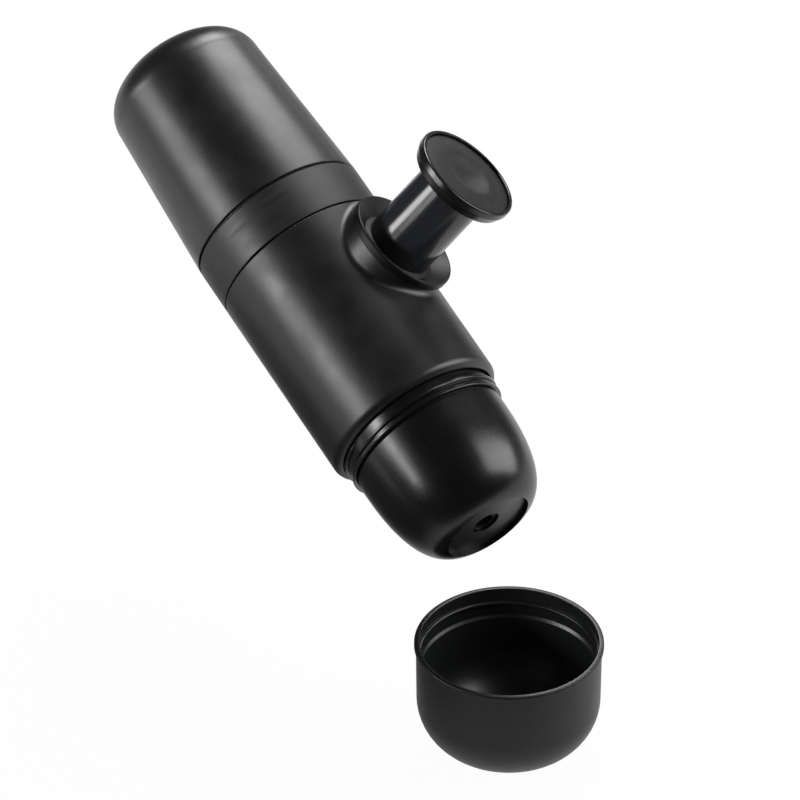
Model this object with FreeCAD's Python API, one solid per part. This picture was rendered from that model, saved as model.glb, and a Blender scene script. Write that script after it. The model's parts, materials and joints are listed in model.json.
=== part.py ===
"""Handheld manual espresso maker, held tilted over its drinking cup. Millimetres.

The maker is modelled upright about its own z axis: the outlet rim is at z = 0, the water tank is
at the top, and the hand pump runs along x. The last step turns it into its pouring position over
the cup, whose foot is the origin, with +z up.
"""
import FreeCAD, Part
import math
import os
from FreeCAD import Placement, Rotation, Vector

# How the maker is held over the cup
TILT = 65.2              # degrees between the maker's axis and the vertical
SPIN = 29.9              # degrees that the pump is turned about the maker's axis
SPOUT_OFFSET = 11.3      # outlet rim's centre, sideways from the cup's axis
SPOUT_HEIGHT = 76.8      # outlet rim's centre, above the cup's foot

# Clearances
SLIP = 0.2               # radial, between pieces that are assembled and stay
TURN = 0.3               # radial, between pieces that screw in and out
RUN = 0.05               # radial, of a sliding or turning fit
FACE = 0.05              # axial, between a seal and the face that it meets

# Main housing
BODY_R = 30.0
BODY_WALL = 2.2
HOUSING_LEN = 68.3
HOUSING_ROUND = 3.0      # rounding of the lower edge
EDGE = 0.4               # small rounding of the visible rims
CLAMP_FLANGE_UP = 13.5   # inner flange, above the lower edge
CLAMP_FLANGE_T = 2.0
CLAMP_FLANGE_W = 3.3

# Side boss for the pump
PUMP_DOWN = 20.4         # pump axis below the housing's upper edge
BOSS_R = 17.7
BOSS_PROUD = 1.0         # outer end of the boss, beyond the housing's radius
BOSS_WALL = 2.2
BOSS_FILLET = 3.0

# Collar above the housing
COLLAR_SEAM = 0.3
COLLAR_LEN = 15.8
COLLAR_INSET = 0.05      # radius below the housing's, of collar and tank foot
COLLAR_WALL = 2.95
COLLAR_LEDGE_T = 1.6     # under the tank floor
SPIGOT_LEN = 5.2
SPIGOT_WALL = 2.4

# Water tank
TANK_SEAM = 0.8
TANK_TAPER = 3.25        # radius lost from foot to dome
TANK_CONE = 55.4
TANK_DOME = 15.6
TANK_POWER = 2.2         # 2 would be an ellipse, more is squarer
TANK_WALL = 1.9
TANK_NECK_LEN = 10.2
TANK_NECK_WALL = 2.0
TANK_FLARE = 4.0
TANK_SEAL_INSET = 0.7

# Frame inside the housing
FLOOR_T = 4.0
FRAME_TUBE_R = 15.0
FRAME_BORE = 13.2
FRAME_BACK_INSET = 12.5  # from the barrel's closed end to the tube's closed end
FRAME_BACK_T = 2.5
FRAME_MOUTH_INSET = 7.5  # from the housing's radius to the tube's open end
FRAME_WEB_T = 2.4
FRAME_WINDOW = 7.0
POST_INSET = 6.7         # from the collar's spigot to the posts' middles, across
POST_R = 3.0
BASE_RING_T = 2.0
BASE_RING_W = 4.4
SEAL_WIRE = 1.6
SCREW_R = 1.25
SCREW_HEAD_R = 2.4
SCREW_HEAD_T = 1.6
SCREW_BITE = 5.0

# Pump barrel and its quarter-turn lock
BARREL_BORE = 6.6
BARREL_R = 8.2
BARREL_BACK_INSET = 7.3  # from the housing's bore to the barrel's closed end
BARREL_FRONT_INSET = 9.0 # from the frame tube's open end to the barrel's
BARREL_FLANGE_R = 10.5
BARREL_FLANGE_T = 1.8
EAR_R = 9.55
EAR_T = 1.5
EAR_HALF = 18.0          # degrees either side of the ear's middle
EAR_SLOT_SLACK = 4.0     # degrees

# Valve block behind the barrel
VALVE_INSET = 5.0        # from the housing's bore to the valves' axis
VALVE_BLOCK_R = 4.2
VALVE_NOTCH = 1.0        # room round the block where it passes the frame's ring and the collar
VALVE_BORE = 2.3
PORT_R = 1.2
BALL_R = 1.9
SEAT_ABOVE_PUMP = 11.5
SEAT_BELOW_PUMP = 4.5
VALVE_SPRING_LEN = 5.0
VALVE_WIRE = 0.35
VALVE_TURNS = 4
SOCKET_R = 10.0
SOCKET_LEN = 6.0

# Piston that the hand presses
SLEEVE_R = 11.5
SLEEVE_WALL = 1.2
SLEEVE_STOP_R = 12.8
SLEEVE_STOP_T = 2.0
PLUNGER_STEM_R = 4.0
PLUNGER_HEAD_LEN = 6.0
PLUNGER_HEAD_GAP = 1.0   # from the barrel's front end to the head, pulled out
PLUNGER_END_GAP = 1.5    # from the barrel's closed end to the head, pressed in
PLUNGER_RING = 1.4
SPRING_WIRE = 1.2
SPRING_TURNS = 9
COIL_SIDES = 6           # flats of a spring's wire
KNOB_R = 18.0
KNOB_T = 5.6
KNOB_BACK_R = 16.6
KNOB_EDGE_T = 2.3
KNOB_SPIGOT_LEN = 6.2
KNOB_STOP_GAP = 1.3      # between the pressed knob and the gland
PAD_R = 16.5
PAD_T = 2.8
PAD_DISH = 0.4           # fall of the face from its edge to the dimple
DIMPLE_R = 9.0
DIMPLE_DEPTH = 1.5
DIMPLE_EDGE_ROUND = 4.0
DIMPLE_FLOOR_ROUND = 14.0
KNOB_SCREW_LEN = 11.0

# Gland that carries the piston
GLAND_R = 18.9
GLAND_T = 3.0
GLAND_SEAM = 0.3
GLAND_RIM = 0.7          # flat round the dished face
GLAND_DISH = 3.6         # depth of the dished face at the bush
BUSH_WALL = 1.6
BUSH_LEN = 5.4
WIPER_T = 1.4

# Group head, under the housing
NECK_SHOWN = 6.3
NECK_INSET = 3.0         # from the housing's radius to the neck's
NECK_LIP = 0.6           # how far the lip stands out from the neck
NECK_LIP_T = 1.2
SOCKET_WALL = 2.4
SOCKET_DEPTH = 10.9
SCREEN_INSET = 3.3       # from the basket's radius to the screen's
SCREEN_T = 0.6
SCREEN_HOLE_R = 0.7
SCREEN_RINGS = 2
SCREEN_PITCH = 5.4
SCREEN_SCREW_R = 1.3
SCREEN_SCREW_HEAD_R = 2.6
SCREEN_SCREW_LEN = 6.0
GROUP_GASKET_W = 5.0

# Outlet head and what it holds
HEAD_LEN = 35.8
HEAD_SEAM = 0.5
HEAD_INSET = 0.5         # from the neck's radius to the head's
HEAD_SIDE = 2.6          # straight part at the top
HEAD_TIP_R = 11.6        # where the rounding would meet the rim plane
HEAD_POWER = 2.45
HEAD_NECK_LEN = 8.4
HEAD_NECK_WALL = 2.2
HEAD_CHAMBER = 18.0      # height of the cylindrical chamber's floor
HEAD_FLOOR_T = 3.4
RECESS_R = 14.8
RECESS_DEPTH = 1.9
OUTLET_R = 4.8
SPOUT_GAP = 0.3          # radial, round the nozzle in its hole
SPOUT_WALL = 1.3
SPOUT_SUNK = 0.8         # from the outlet face to the nozzle's tip
SPOUT_FLANGE_R = 7.0
SPOUT_FLANGE_T = 1.4
HEAD_SEAL_T = 1.2
HEAD_SEAL_W = 1.3
BASKET_ROOM = 1.8        # between the head's bore and the basket
BASKET_WALL = 0.8
BASKET_DEPTH = 19.0
BASKET_FLANGE_T = 1.0
BASKET_LEDGE = 2.0

# Small pieces on the tank floor
STRAINER_R = 4.6
STRAINER_T = 0.8
VENT_INSET = 9.7         # from the bore of the tank's neck to the valve's axis
VENT_HEAD_R = 3.4
VENT_HEAD_T = 0.9
VENT_STEM_R = 1.1

# Drinking cup
CUP_H = 39.2
CUP_LIP_PROUD = 0.2      # lip beyond the housing's radius
CUP_LIP = 0.6            # how far the lip stands out from the wall
CUP_TAPER = 0.4          # radius lost from the lip to where the wall would meet the foot
CUP_LIP_H = 1.7
CUP_ROUND = 18.0
CUP_WALL = 1.8
CUP_MOUTH_WALL = 1.1
CUP_MOUTH_H = 10.0

# Levels along the maker's axis, worked out from the lengths above
Z_FLANGE = HEAD_LEN + HEAD_SEAM
Z_HOUSING = Z_FLANGE + NECK_SHOWN
Z_PUMP = Z_HOUSING + HOUSING_LEN - PUMP_DOWN
Z_CLAMP = Z_HOUSING + CLAMP_FLANGE_UP
Z_COLLAR = Z_HOUSING + HOUSING_LEN + COLLAR_SEAM
Z_FLOOR = Z_COLLAR + COLLAR_LEDGE_T
Z_TANK = Z_COLLAR + COLLAR_LEN + TANK_SEAM
Z_NECK_END = Z_TANK - TANK_NECK_LEN
Z_SOCKET_TOP = Z_FLANGE + SOCKET_DEPTH
Z_HEAD_NECK_TOP = HEAD_LEN + HEAD_NECK_LEN

# Radii and places that follow from the sizes above
BODY_BORE = BODY_R - BODY_WALL
BOSS_OUT = BODY_R + BOSS_PROUD
BOSS_BORE = BOSS_R - BOSS_WALL
COLLAR_R = BODY_R - COLLAR_INSET
COLLAR_BORE = COLLAR_R - COLLAR_WALL
SPIGOT_R = BODY_BORE - SLIP
SPIGOT_BORE = SPIGOT_R - SPIGOT_WALL
POST_Y = SPIGOT_BORE - POST_INSET
TANK_FOOT_R = COLLAR_R
TANK_TOP_R = TANK_FOOT_R - TANK_TAPER
TANK_NECK_R = COLLAR_BORE - TURN
TANK_NECK_BORE = TANK_NECK_R - TANK_NECK_WALL
VENT_X = TANK_NECK_BORE - VENT_INSET
FLOOR_R = COLLAR_BORE - SLIP
NECK_R = BODY_R - NECK_INSET
NECK_LIP_R = NECK_R + NECK_LIP
HEAD_R = NECK_R - HEAD_INSET
GROUP_SOCKET_R = NECK_R - SOCKET_WALL
HEAD_NECK_R = GROUP_SOCKET_R - TURN
SPOUT_R = OUTLET_R - SPOUT_GAP
SPOUT_BORE = SPOUT_R - SPOUT_WALL
HEAD_BORE = HEAD_NECK_R - HEAD_NECK_WALL
BASKET_R = HEAD_BORE - BASKET_ROOM
SCREEN_R = BASKET_R - SCREEN_INSET
CUP_LIP_R = BODY_R + CUP_LIP_PROUD
CUP_TOP_R = CUP_LIP_R - CUP_LIP
CUP_R = CUP_TOP_R - CUP_TAPER
SLEEVE_BORE = SLEEVE_R - SLEEVE_WALL
SLEEVE_LOCK_BORE = BARREL_R + TURN
VALVE_X = BODY_BORE - VALVE_INSET
FRAME_MOUTH = BODY_R - FRAME_MOUTH_INSET
BARREL_BACK = BODY_BORE - BARREL_BACK_INSET
BARREL_FRONT = FRAME_MOUTH - BARREL_FRONT_INSET
FRAME_BACK = BARREL_BACK - FRAME_BACK_INSET
POST_X = FRAME_BACK
PLUNGER_TIP = BARREL_FRONT - PLUNGER_HEAD_GAP - PLUNGER_HEAD_LEN
STROKE = BARREL_BACK + PLUNGER_TIP - PLUNGER_END_GAP
GLAND_FACE = BOSS_OUT + GLAND_SEAM + GLAND_T
GLAND_INNER_END = FRAME_MOUTH + TURN
KNOB_BACK = GLAND_FACE + KNOB_STOP_GAP + STROKE
KNOB_FACE = KNOB_BACK + KNOB_T
SLEEVE_INNER_END = GLAND_INNER_END - FACE - SLEEVE_STOP_T
EAR_FRONT = SLEEVE_INNER_END + SLEEVE_STOP_T - STROKE + TURN


class Outline:
    """A closed half-section, drawn as radius and height, that is turned about the z axis."""

    def __init__(self, radius, height):
        self.corners = [(radius, height, 0.0)]
        self.curves = {}

    def to(self, radius, height, corner=0.0):
        """Adds a straight side to the given point, whose corner may be rounded."""
        self.corners.append((radius, height, corner))
        return self

    def dome(self, radius, height, power):
        """Adds a quarter superellipse that leaves the side upright and meets the tip flat."""
        self.curves[len(self.corners) - 1] = power
        return self.to(radius, height)

    def edges(self):
        """Gives the section's edges in order, with the rounded corners as tangent arcs."""
        count = len(self.corners)
        found = []
        start = point(*self.corners[0][:2])
        for index in range(count):
            here = point(*self.corners[index][:2])
            there = point(*self.corners[(index + 1) % count][:2])
            radius = self.corners[(index + 1) % count][2]
            if index in self.curves:
                found.append(quarter_curve(here, there, self.curves[index]))
                start = there
            elif radius > 0:
                beyond = point(*self.corners[(index + 2) % count][:2])
                first, middle, last = corner_arc(here, there, beyond, radius)
                found.append(Part.LineSegment(start, first).toShape())
                found.append(Part.Arc(first, middle, last).toShape())
                start = last
            else:
                found.append(Part.LineSegment(start, there).toShape())
                start = there
        return found

    def turned(self):
        """Gives the solid of revolution."""
        face = Part.Face(Part.Wire(self.edges()))
        return face.revolve(Vector(0, 0, 0), Vector(0, 0, 1), 360)


def point(radius, height):
    """A point of a half-section."""
    return Vector(radius, 0, height)


def corner_arc(before, corner, after, radius):
    """Three points of the arc that rounds a corner: its start, middle and end."""
    back = (before - corner).normalize()
    ahead = (after - corner).normalize()
    half = back.getAngle(ahead) / 2
    reach = radius / math.tan(half)
    centre = corner + (back + ahead).normalize() * (radius / math.sin(half))
    middle = centre + (corner - centre).normalize() * radius
    return corner + back * reach, middle, corner + ahead * reach


def quarter_curve(here, there, power, steps=10):
    """A quarter superellipse between two points; the one of larger radius is its side."""
    side, tip = (here, there) if here.x > there.x else (there, here)
    points = []
    for step in range(steps + 1):
        angle = math.pi / 2 * step / steps
        across = max(math.cos(angle), 0.0) ** (2 / power)
        along = math.sin(angle) ** (2 / power)
        points.append(Vector(tip.x + (side.x - tip.x) * across, 0, side.z + (tip.z - side.z) * along))
    points[-1] = tip
    if here is tip:
        points.reverse()
    curve = Part.BSplineCurve()
    curve.interpolate(points)
    return curve.toShape()


def rod(radius, low, high, x=0.0, y=0.0):
    """A cylinder along z between two levels."""
    return Part.makeCylinder(radius, high - low, Vector(x, y, low))


def ring(outer, inner, low, high, x=0.0, y=0.0):
    """A cylinder along z with a hole through it."""
    return rod(outer, low, high, x, y).cut(rod(inner, low - 1, high + 1, x, y))


def torus_ring(radius, wire, level):
    """A round-section seal about the z axis."""
    return Part.makeTorus(radius, wire / 2, Vector(0, 0, level), Vector(0, 0, 1))


def to_pump(shape):
    """Lays a piece drawn about z along the pump: its z becomes x, at the pump's level."""
    laid = Placement(Vector(0, 0, Z_PUMP), Rotation(Vector(0, 1, 0), 90))
    turned = shape.copy()
    turned.Placement = laid.multiply(shape.Placement)
    return turned


def sector(radius, low, high, middle, half):
    """A wedge of a cylinder about z, that many degrees either side of its middle."""
    wedge = Part.makeCylinder(radius, high - low, Vector(0, 0, low), Vector(0, 0, 1), 2 * half)
    return wedge.rotate(Vector(0, 0, 0), Vector(0, 0, 1), middle - half)


def coil(radius, wire, low, high, turns):
    """A compression spring about z, its ends half a wire inside the two levels."""
    length = high - low - wire
    helix = Part.makeHelix(length / turns, length, radius)
    corners = []
    for step in range(COIL_SIDES + 1):
        angle = 2 * math.pi * step / COIL_SIDES
        corners.append(Vector(radius + wire / 2 * math.cos(angle), 0, wire / 2 * math.sin(angle)))
    section = Part.makePolygon(corners)
    spring = Part.Wire(helix).makePipeShell([section], True, True)
    return spring.translate(Vector(0, 0, low + wire / 2))


def hole_rings(radius, pitch, rings, low, high):
    """Round holes in rings about a centre that stays free."""
    holes = []
    for number in range(1, rings + 1):
        for step in range(6 * number):
            angle = 2 * math.pi * step / (6 * number)
            reach = pitch * number
            holes.append(rod(radius, low, high, reach * math.cos(angle), reach * math.sin(angle)))
    return holes


def posts():
    """The four places of the frame's screw posts."""
    return [(x, y) for x in (-POST_X, POST_X) for y in (-POST_Y, POST_Y)]


def main_housing():
    """Outer shell with the pump's side boss, blended into the wall by a fillet."""
    top = Z_HOUSING + HOUSING_LEN
    skin = (Outline(0, Z_HOUSING).to(BODY_R, Z_HOUSING, HOUSING_ROUND)
            .to(BODY_R, top, EDGE).to(0, top).turned())
    skin.rotate(Vector(0, 0, 0), Vector(0, 0, 1), 180)      # its seam line faces away from the boss
    long_boss = BOSS_OUT + 2 * BOSS_FILLET                  # room for the whole blend, cut back below
    body = skin.fuse(to_pump(rod(BOSS_R, 0, long_boss))).removeSplitter()
    blend = [edge for edge in body.Edges if on_blend(edge)]
    body = body.makeFillet(BOSS_FILLET, blend)
    body = body.cut(to_pump(rod(BODY_R, BOSS_OUT, long_boss + 1)))
    flange_low = Z_CLAMP
    flange_high = Z_CLAMP + CLAMP_FLANGE_T
    for low, high in ((Z_HOUSING - 1, flange_low), (flange_high, top + 1)):
        body = body.cut(rod(BODY_BORE, low, high))
    body = body.cut(rod(BODY_BORE - CLAMP_FLANGE_W, Z_HOUSING, top))
    body = body.cut(rod(VALVE_BLOCK_R + TURN, flange_low - 1, flange_high + 1, -VALVE_X))
    return body.cut(to_pump(rod(BOSS_BORE, 0, BOSS_OUT + 1)))


def on_blend(edge):
    """Whether an edge is the seam where the boss meets the housing's wall."""
    for vertex in edge.discretize(7):
        from_axis = math.hypot(vertex.x, vertex.y)
        from_pump = math.hypot(vertex.y, vertex.z - Z_PUMP)
        if vertex.x < 1 or abs(from_axis - BODY_R) > 0.05 or abs(from_pump - BOSS_R) > 0.05:
            return False
    return True


def tank_collar():
    """Smooth band that takes the tank's neck, with a spigot that centres it in the housing.

    The spigot is notched for the valve block, which also passes the ledge under the tank floor.
    """
    top = Z_COLLAR + COLLAR_LEN
    low = Z_COLLAR - SPIGOT_LEN
    half = VALVE_BLOCK_R + VALVE_NOTCH
    notch = Part.makeBox(SPIGOT_WALL + 2, 2 * half, SPIGOT_LEN + 1,
                         Vector(-SPIGOT_R - 1, -half, low - 1))
    scoop = rod(VALVE_BLOCK_R + TURN, low - 1, Z_FLOOR, -VALVE_X)
    return (Outline(SPIGOT_BORE, low).to(SPIGOT_R, low, EDGE).to(SPIGOT_R, Z_COLLAR)
            .to(COLLAR_R, Z_COLLAR, EDGE).to(COLLAR_R, top, EDGE).to(COLLAR_BORE, top, EDGE)
            .to(COLLAR_BORE, Z_FLOOR).to(SPIGOT_BORE, Z_FLOOR).turned()
            .cut(notch).cut(scoop))


def water_tank():
    """Tapered tank with a domed end and the neck that screws into the collar."""
    cone_top = Z_TANK + TANK_CONE
    tip = cone_top + TANK_DOME
    return (Outline(TANK_NECK_BORE, Z_NECK_END).to(TANK_NECK_R, Z_NECK_END, EDGE)
            .to(TANK_NECK_R, Z_TANK).to(TANK_FOOT_R, Z_TANK, EDGE).to(TANK_TOP_R, cone_top)
            .dome(0, tip, TANK_POWER).to(0, tip - TANK_WALL)
            .dome(TANK_TOP_R - TANK_WALL, cone_top, TANK_POWER)
            .to(TANK_FOOT_R - TANK_WALL, Z_TANK + TANK_FLARE).to(TANK_NECK_BORE, Z_TANK)
            .turned())


def tank_gasket():
    """Flat ring under the tank's shoulder."""
    return ring(TANK_FOOT_R - TANK_SEAL_INSET, TANK_NECK_R + RUN,
                Z_TANK - TANK_SEAM + FACE, Z_TANK - FACE)


def pump_frame():
    """Moulded chassis: tank floor, pump tube, webs, screw posts and base ring in one piece."""
    floor_top = Z_FLOOR + FLOOR_T
    base = Z_CLAMP + CLAMP_FLANGE_T
    ring_r = BODY_BORE - SLIP
    frame = rod(FLOOR_R, Z_FLOOR, floor_top)
    frame = frame.fuse(ring(ring_r, ring_r - BASE_RING_W, base, base + BASE_RING_T))
    frame = frame.fuse(to_pump(rod(FRAME_TUBE_R, -FRAME_BACK - FRAME_BACK_T, FRAME_MOUTH)))
    web_low = base
    for x in (-POST_X, POST_X):
        web = Part.makeBox(FRAME_WEB_T, 2 * POST_Y, Z_FLOOR - web_low,
                           Vector(x - FRAME_WEB_T / 2, -POST_Y, web_low))
        frame = frame.fuse(web)
    for x, y in posts():
        frame = frame.fuse(rod(POST_R, web_low, Z_FLOOR, x, y))
    frame = frame.fuse(frame_feet())
    window_z = (web_low + Z_PUMP - FRAME_TUBE_R) / 2
    window = Part.makeCylinder(FRAME_WINDOW, 4 * POST_X, Vector(-2 * POST_X, 0, window_z),
                               Vector(1, 0, 0))
    frame = frame.cut(window)
    frame = frame.cut(to_pump(rod(FRAME_BORE, -FRAME_BACK, FRAME_MOUTH + 1)))
    frame = frame.cut(to_pump(rod(BARREL_R + RUN, -BARREL_BACK, 0)))
    for x, y in posts():
        frame = frame.cut(rod(SCREW_R + RUN, Z_SOCKET_TOP, floor_top + 1, x, y))
        frame = frame.cut(rod(SCREW_HEAD_R + SLIP, floor_top - SCREW_HEAD_T, floor_top + 1, x, y))
    duct = Z_FLOOR + FLOOR_T / 2
    frame = frame.cut(rod(PORT_R, duct, floor_top + 1, strainer_x()))
    frame = frame.cut(rod(PORT_R, Z_FLOOR - 1, duct, -VALVE_X))
    channel = Part.makeCylinder(PORT_R, VALVE_X + strainer_x(), Vector(-VALVE_X, 0, duct), Vector(1, 0, 0))
    frame = frame.cut(channel)
    frame = frame.cut(rod(VENT_STEM_R + RUN, Z_FLOOR - 1, floor_top + 1, VENT_X))
    frame = frame.cut(rod(VALVE_BLOCK_R + VALVE_NOTCH, base - 1, base + BASE_RING_T + 1, -VALVE_X))
    groove = ring(FLOOR_R + 1, FLOOR_R - SEAL_WIRE + TURN, frame_seal_level() - SEAL_WIRE / 2,
                  frame_seal_level() + SEAL_WIRE / 2)
    return frame.cut(groove)


def frame_feet():
    """Four short arms that tie the screw posts to the base ring."""
    base = Z_CLAMP + CLAMP_FLANGE_T
    arms = None
    for x, y in posts():
        reach = BODY_BORE - SLIP - BASE_RING_W / 2
        arm = Part.makeBox(reach, POST_R, BASE_RING_T, Vector(0, -POST_R / 2, base))
        arm.rotate(Vector(0, 0, 0), Vector(0, 0, 1), math.degrees(math.atan2(y, x)))
        arm = arm.cut(rod(math.hypot(POST_X, POST_Y) - POST_R, base - 1, base + BASE_RING_T + 1))
        arms = arm if arms is None else arms.fuse(arm)
    return arms


def strainer_x():
    """Where the tank's outlet port opens, inward of the valve block so the tank's neck clears it."""
    return -(TANK_NECK_BORE - STRAINER_R - TURN * 4)


def frame_seal_level():
    """Middle of the seal round the tank floor."""
    return Z_FLOOR + FLOOR_T / 2


def frame_seal():
    """Round-section seal between the tank floor and the collar."""
    inner = FLOOR_R - SEAL_WIRE + TURN
    return torus_ring((inner + COLLAR_BORE) / 2, COLLAR_BORE - inner - 2 * FACE, frame_seal_level())


def inlet_strainer():
    """Fine perforated disc over the tank's outlet port."""
    top = Z_FLOOR + FLOOR_T
    disc = Outline(0, top).to(STRAINER_R, top).to(STRAINER_R, top + STRAINER_T, EDGE)
    shape = disc.to(0, top + STRAINER_T).turned()
    for hole in hole_rings(PORT_R / 3, PORT_R, 1, top - 1, top + 2):
        shape = shape.cut(hole)
    return shape.translate(Vector(strainer_x(), 0, 0))


def vent_valve():
    """Soft umbrella valve that lets air into the tank as the water leaves."""
    top = Z_FLOOR + FLOOR_T
    bulb = VENT_STEM_R + TURN
    return (Outline(0, top + VENT_HEAD_T).to(0, Z_FLOOR - 2.4).to(VENT_STEM_R - 0.5, Z_FLOOR - 2.4)
            .to(bulb, Z_FLOOR - 1.0).to(bulb, Z_FLOOR).to(VENT_STEM_R, Z_FLOOR).to(VENT_STEM_R, top)
            .to(VENT_HEAD_R, top).to(VENT_HEAD_R, top + VENT_HEAD_T / 3)
            .to(VENT_STEM_R, top + VENT_HEAD_T).turned()
            .translate(Vector(VENT_X, 0, 0)))


def tie_screws():
    """Four long screws that clamp frame, housing flange and group head together."""
    floor_top = Z_FLOOR + FLOOR_T
    foot = Z_CLAMP - SCREW_BITE
    screws = []
    for x, y in posts():
        head = rod(SCREW_HEAD_R, floor_top - SCREW_HEAD_T, floor_top, x, y)
        cross = screw_cross(x, y, floor_top)
        screws.append(head.fuse(rod(SCREW_R, foot, floor_top - SCREW_HEAD_T, x, y)).cut(cross))
    return Part.Compound(screws)


def screw_cross(x, y, top):
    """The cross recess in a screw's head, which opens upward at the given level."""
    bars = []
    long_side = SCREW_HEAD_R * 1.2
    short_side = SCREW_HEAD_R * 0.3
    for length, width in ((long_side, short_side), (short_side, long_side)):
        bars.append(Part.makeBox(length, width, SCREW_HEAD_T,
                                 Vector(x - length / 2, y - width / 2, top - SCREW_HEAD_T * 0.6)))
    return bars[0].fuse(bars[1])


def pump_barrel():
    """Bore of the pump, with a fixing flange and the two ears of the piston's lock."""
    back = -BARREL_BACK
    flange = -FRAME_BACK - FRAME_BACK_T
    barrel = ring(BARREL_R, BARREL_BORE, back, BARREL_FRONT)
    barrel = barrel.fuse(ring(BARREL_FLANGE_R, BARREL_BORE, flange - BARREL_FLANGE_T, flange))
    for middle in (0, 180):
        ear = sector(EAR_R, EAR_FRONT, EAR_FRONT + EAR_T, middle, EAR_HALF)
        barrel = barrel.fuse(ear.cut(rod(BARREL_BORE + 0.5, EAR_FRONT - 1, EAR_FRONT + EAR_T + 1)))
    return to_pump(barrel)


def valve_block():
    """Column behind the barrel: water comes in at the top and leaves at the bottom."""
    low = Z_CLAMP
    block = rod(VALVE_BLOCK_R, low, Z_FLOOR, -VALVE_X)
    socket_back = -BARREL_BACK - 1.2
    socket = rod(SOCKET_R, socket_back, -BARREL_BACK + SOCKET_LEN)
    block = block.fuse(to_pump(socket))
    block = block.common(rod(BODY_BORE - SLIP, low, Z_FLOOR))
    block = block.cut(to_pump(rod(BARREL_R + RUN, -BARREL_BACK, SOCKET_LEN)))
    block = block.cut(rod(VALVE_BORE, chamber_floor(inlet_seat_level()), Z_FLOOR + 1, -VALVE_X))
    block = block.cut(rod(PORT_R, outlet_seat_level() - 1, inlet_seat_level(), -VALVE_X))
    block = block.cut(rod(VALVE_BORE, low - 1, outlet_seat_level(), -VALVE_X))
    return block.cut(to_pump(rod(PORT_R, -VALVE_X, 0)))


def inlet_seat_level():
    """Lower edge of the inlet valve's seat."""
    return Z_PUMP + SEAT_ABOVE_PUMP


def outlet_seat_level():
    """Lower edge of the outlet valve's seat."""
    return Z_PUMP - SEAT_BELOW_PUMP


def chamber_floor(seat):
    """Lower end of a valve's chamber, where its spring stands."""
    return seat - 2 * BALL_R - VALVE_SPRING_LEN


def seated_ball_level(seat):
    """Centre of a ball that rests up against the edge of a port."""
    return seat - math.sqrt(BALL_R ** 2 - PORT_R ** 2) - FACE


def valve_ball(seat):
    """A valve's ball on its seat."""
    return Part.makeSphere(BALL_R, Vector(-VALVE_X, 0, seated_ball_level(seat)))


def valve_spring(seat):
    """The spring that holds a valve's ball up on its seat."""
    top = seated_ball_level(seat) - BALL_R + VALVE_WIRE
    radius = BALL_R * 0.62
    low = chamber_floor(seat) + FACE
    return coil(radius, VALVE_WIRE, low, top, VALVE_TURNS).translate(Vector(-VALVE_X, 0, 0))


def inlet_valve_seat():
    """Bush pressed into the block above the inlet valve's ball."""
    return ring(VALVE_BORE, PORT_R, inlet_seat_level(), Z_FLOOR, -VALVE_X)


def outlet_retainer():
    """Tube pressed in from below that carries the outlet valve's spring."""
    return ring(VALVE_BORE, PORT_R, Z_CLAMP, chamber_floor(outlet_seat_level()), -VALVE_X)


def piston_collar():
    """Gland nut: a dished ring on the boss, and a sleeve that holds bush and wiper."""
    seat = BOSS_OUT + GLAND_SEAM
    dish = GLAND_FACE - GLAND_DISH
    sleeve_r = BOSS_BORE - SLIP
    bush_r = SLEEVE_R + RUN + BUSH_WALL
    bore = SLEEVE_R + TURN
    return to_pump(Outline(bore, GLAND_INNER_END).to(sleeve_r, GLAND_INNER_END, EDGE)
                   .to(sleeve_r, seat).to(GLAND_R, seat, EDGE)
                   .to(GLAND_R, GLAND_FACE, 2 * EDGE).to(GLAND_R - GLAND_RIM, GLAND_FACE, EDGE)
                   .to(bush_r, dish).to(bush_r, bush_end()).to(bore, bush_end()).turned())


def bush_end():
    """Inner end of the guide bush."""
    return GLAND_INNER_END + 1.5


def rod_bush():
    """Guide bush that the piston slides in."""
    return to_pump(ring(SLEEVE_R + RUN + BUSH_WALL, SLEEVE_R + RUN, bush_end(), bush_end() + BUSH_LEN))


def wiper_seal():
    """Soft ring in front of the bush that keeps dirt out."""
    low = bush_end() + BUSH_LEN
    outer = SLEEVE_R + RUN + BUSH_WALL
    return to_pump(Outline(SLEEVE_R + RUN, low).to(outer, low).to(outer, low + WIPER_T * 0.6)
                   .to(SLEEVE_R + RUN, low + WIPER_T).turned())


def piston_sleeve():
    """Outer tube of the piston; its inner end carries the stop and the lock's keyed opening."""
    end = SLEEVE_INNER_END
    sleeve = ring(SLEEVE_R, SLEEVE_BORE, end, KNOB_BACK)
    sleeve = sleeve.fuse(ring(SLEEVE_STOP_R, SLEEVE_LOCK_BORE, end, end + SLEEVE_STOP_T))
    for middle in (0, 180):
        slot = sector(SLEEVE_BORE, end - 1, end + SLEEVE_STOP_T + 1, middle, EAR_HALF + EAR_SLOT_SLACK)
        sleeve = sleeve.cut(slot)
    return to_pump(sleeve)


def plunger():
    """Stem and head that drive the water, with a groove for the seal ring."""
    head_r = BARREL_BORE - SLIP
    tip = PLUNGER_TIP
    groove = head_r - PLUNGER_RING + SLIP
    middle = tip + PLUNGER_HEAD_LEN / 2
    shoulder = KNOB_BACK - KNOB_SPIGOT_LEN
    return to_pump(Outline(0, tip).to(head_r, tip, EDGE).to(head_r, middle - PLUNGER_RING / 2)
                   .to(groove, middle - PLUNGER_RING / 2).to(groove, middle + PLUNGER_RING / 2)
                   .to(head_r, middle + PLUNGER_RING / 2).to(head_r, tip + PLUNGER_HEAD_LEN, EDGE)
                   .to(PLUNGER_STEM_R, tip + PLUNGER_HEAD_LEN).to(PLUNGER_STEM_R, shoulder)
                   .to(knob_screw_r() + RUN, shoulder).to(knob_screw_r() + RUN, shoulder - KNOB_SCREW_LEN / 2)
                   .to(0, shoulder - KNOB_SCREW_LEN / 2).turned())


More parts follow.
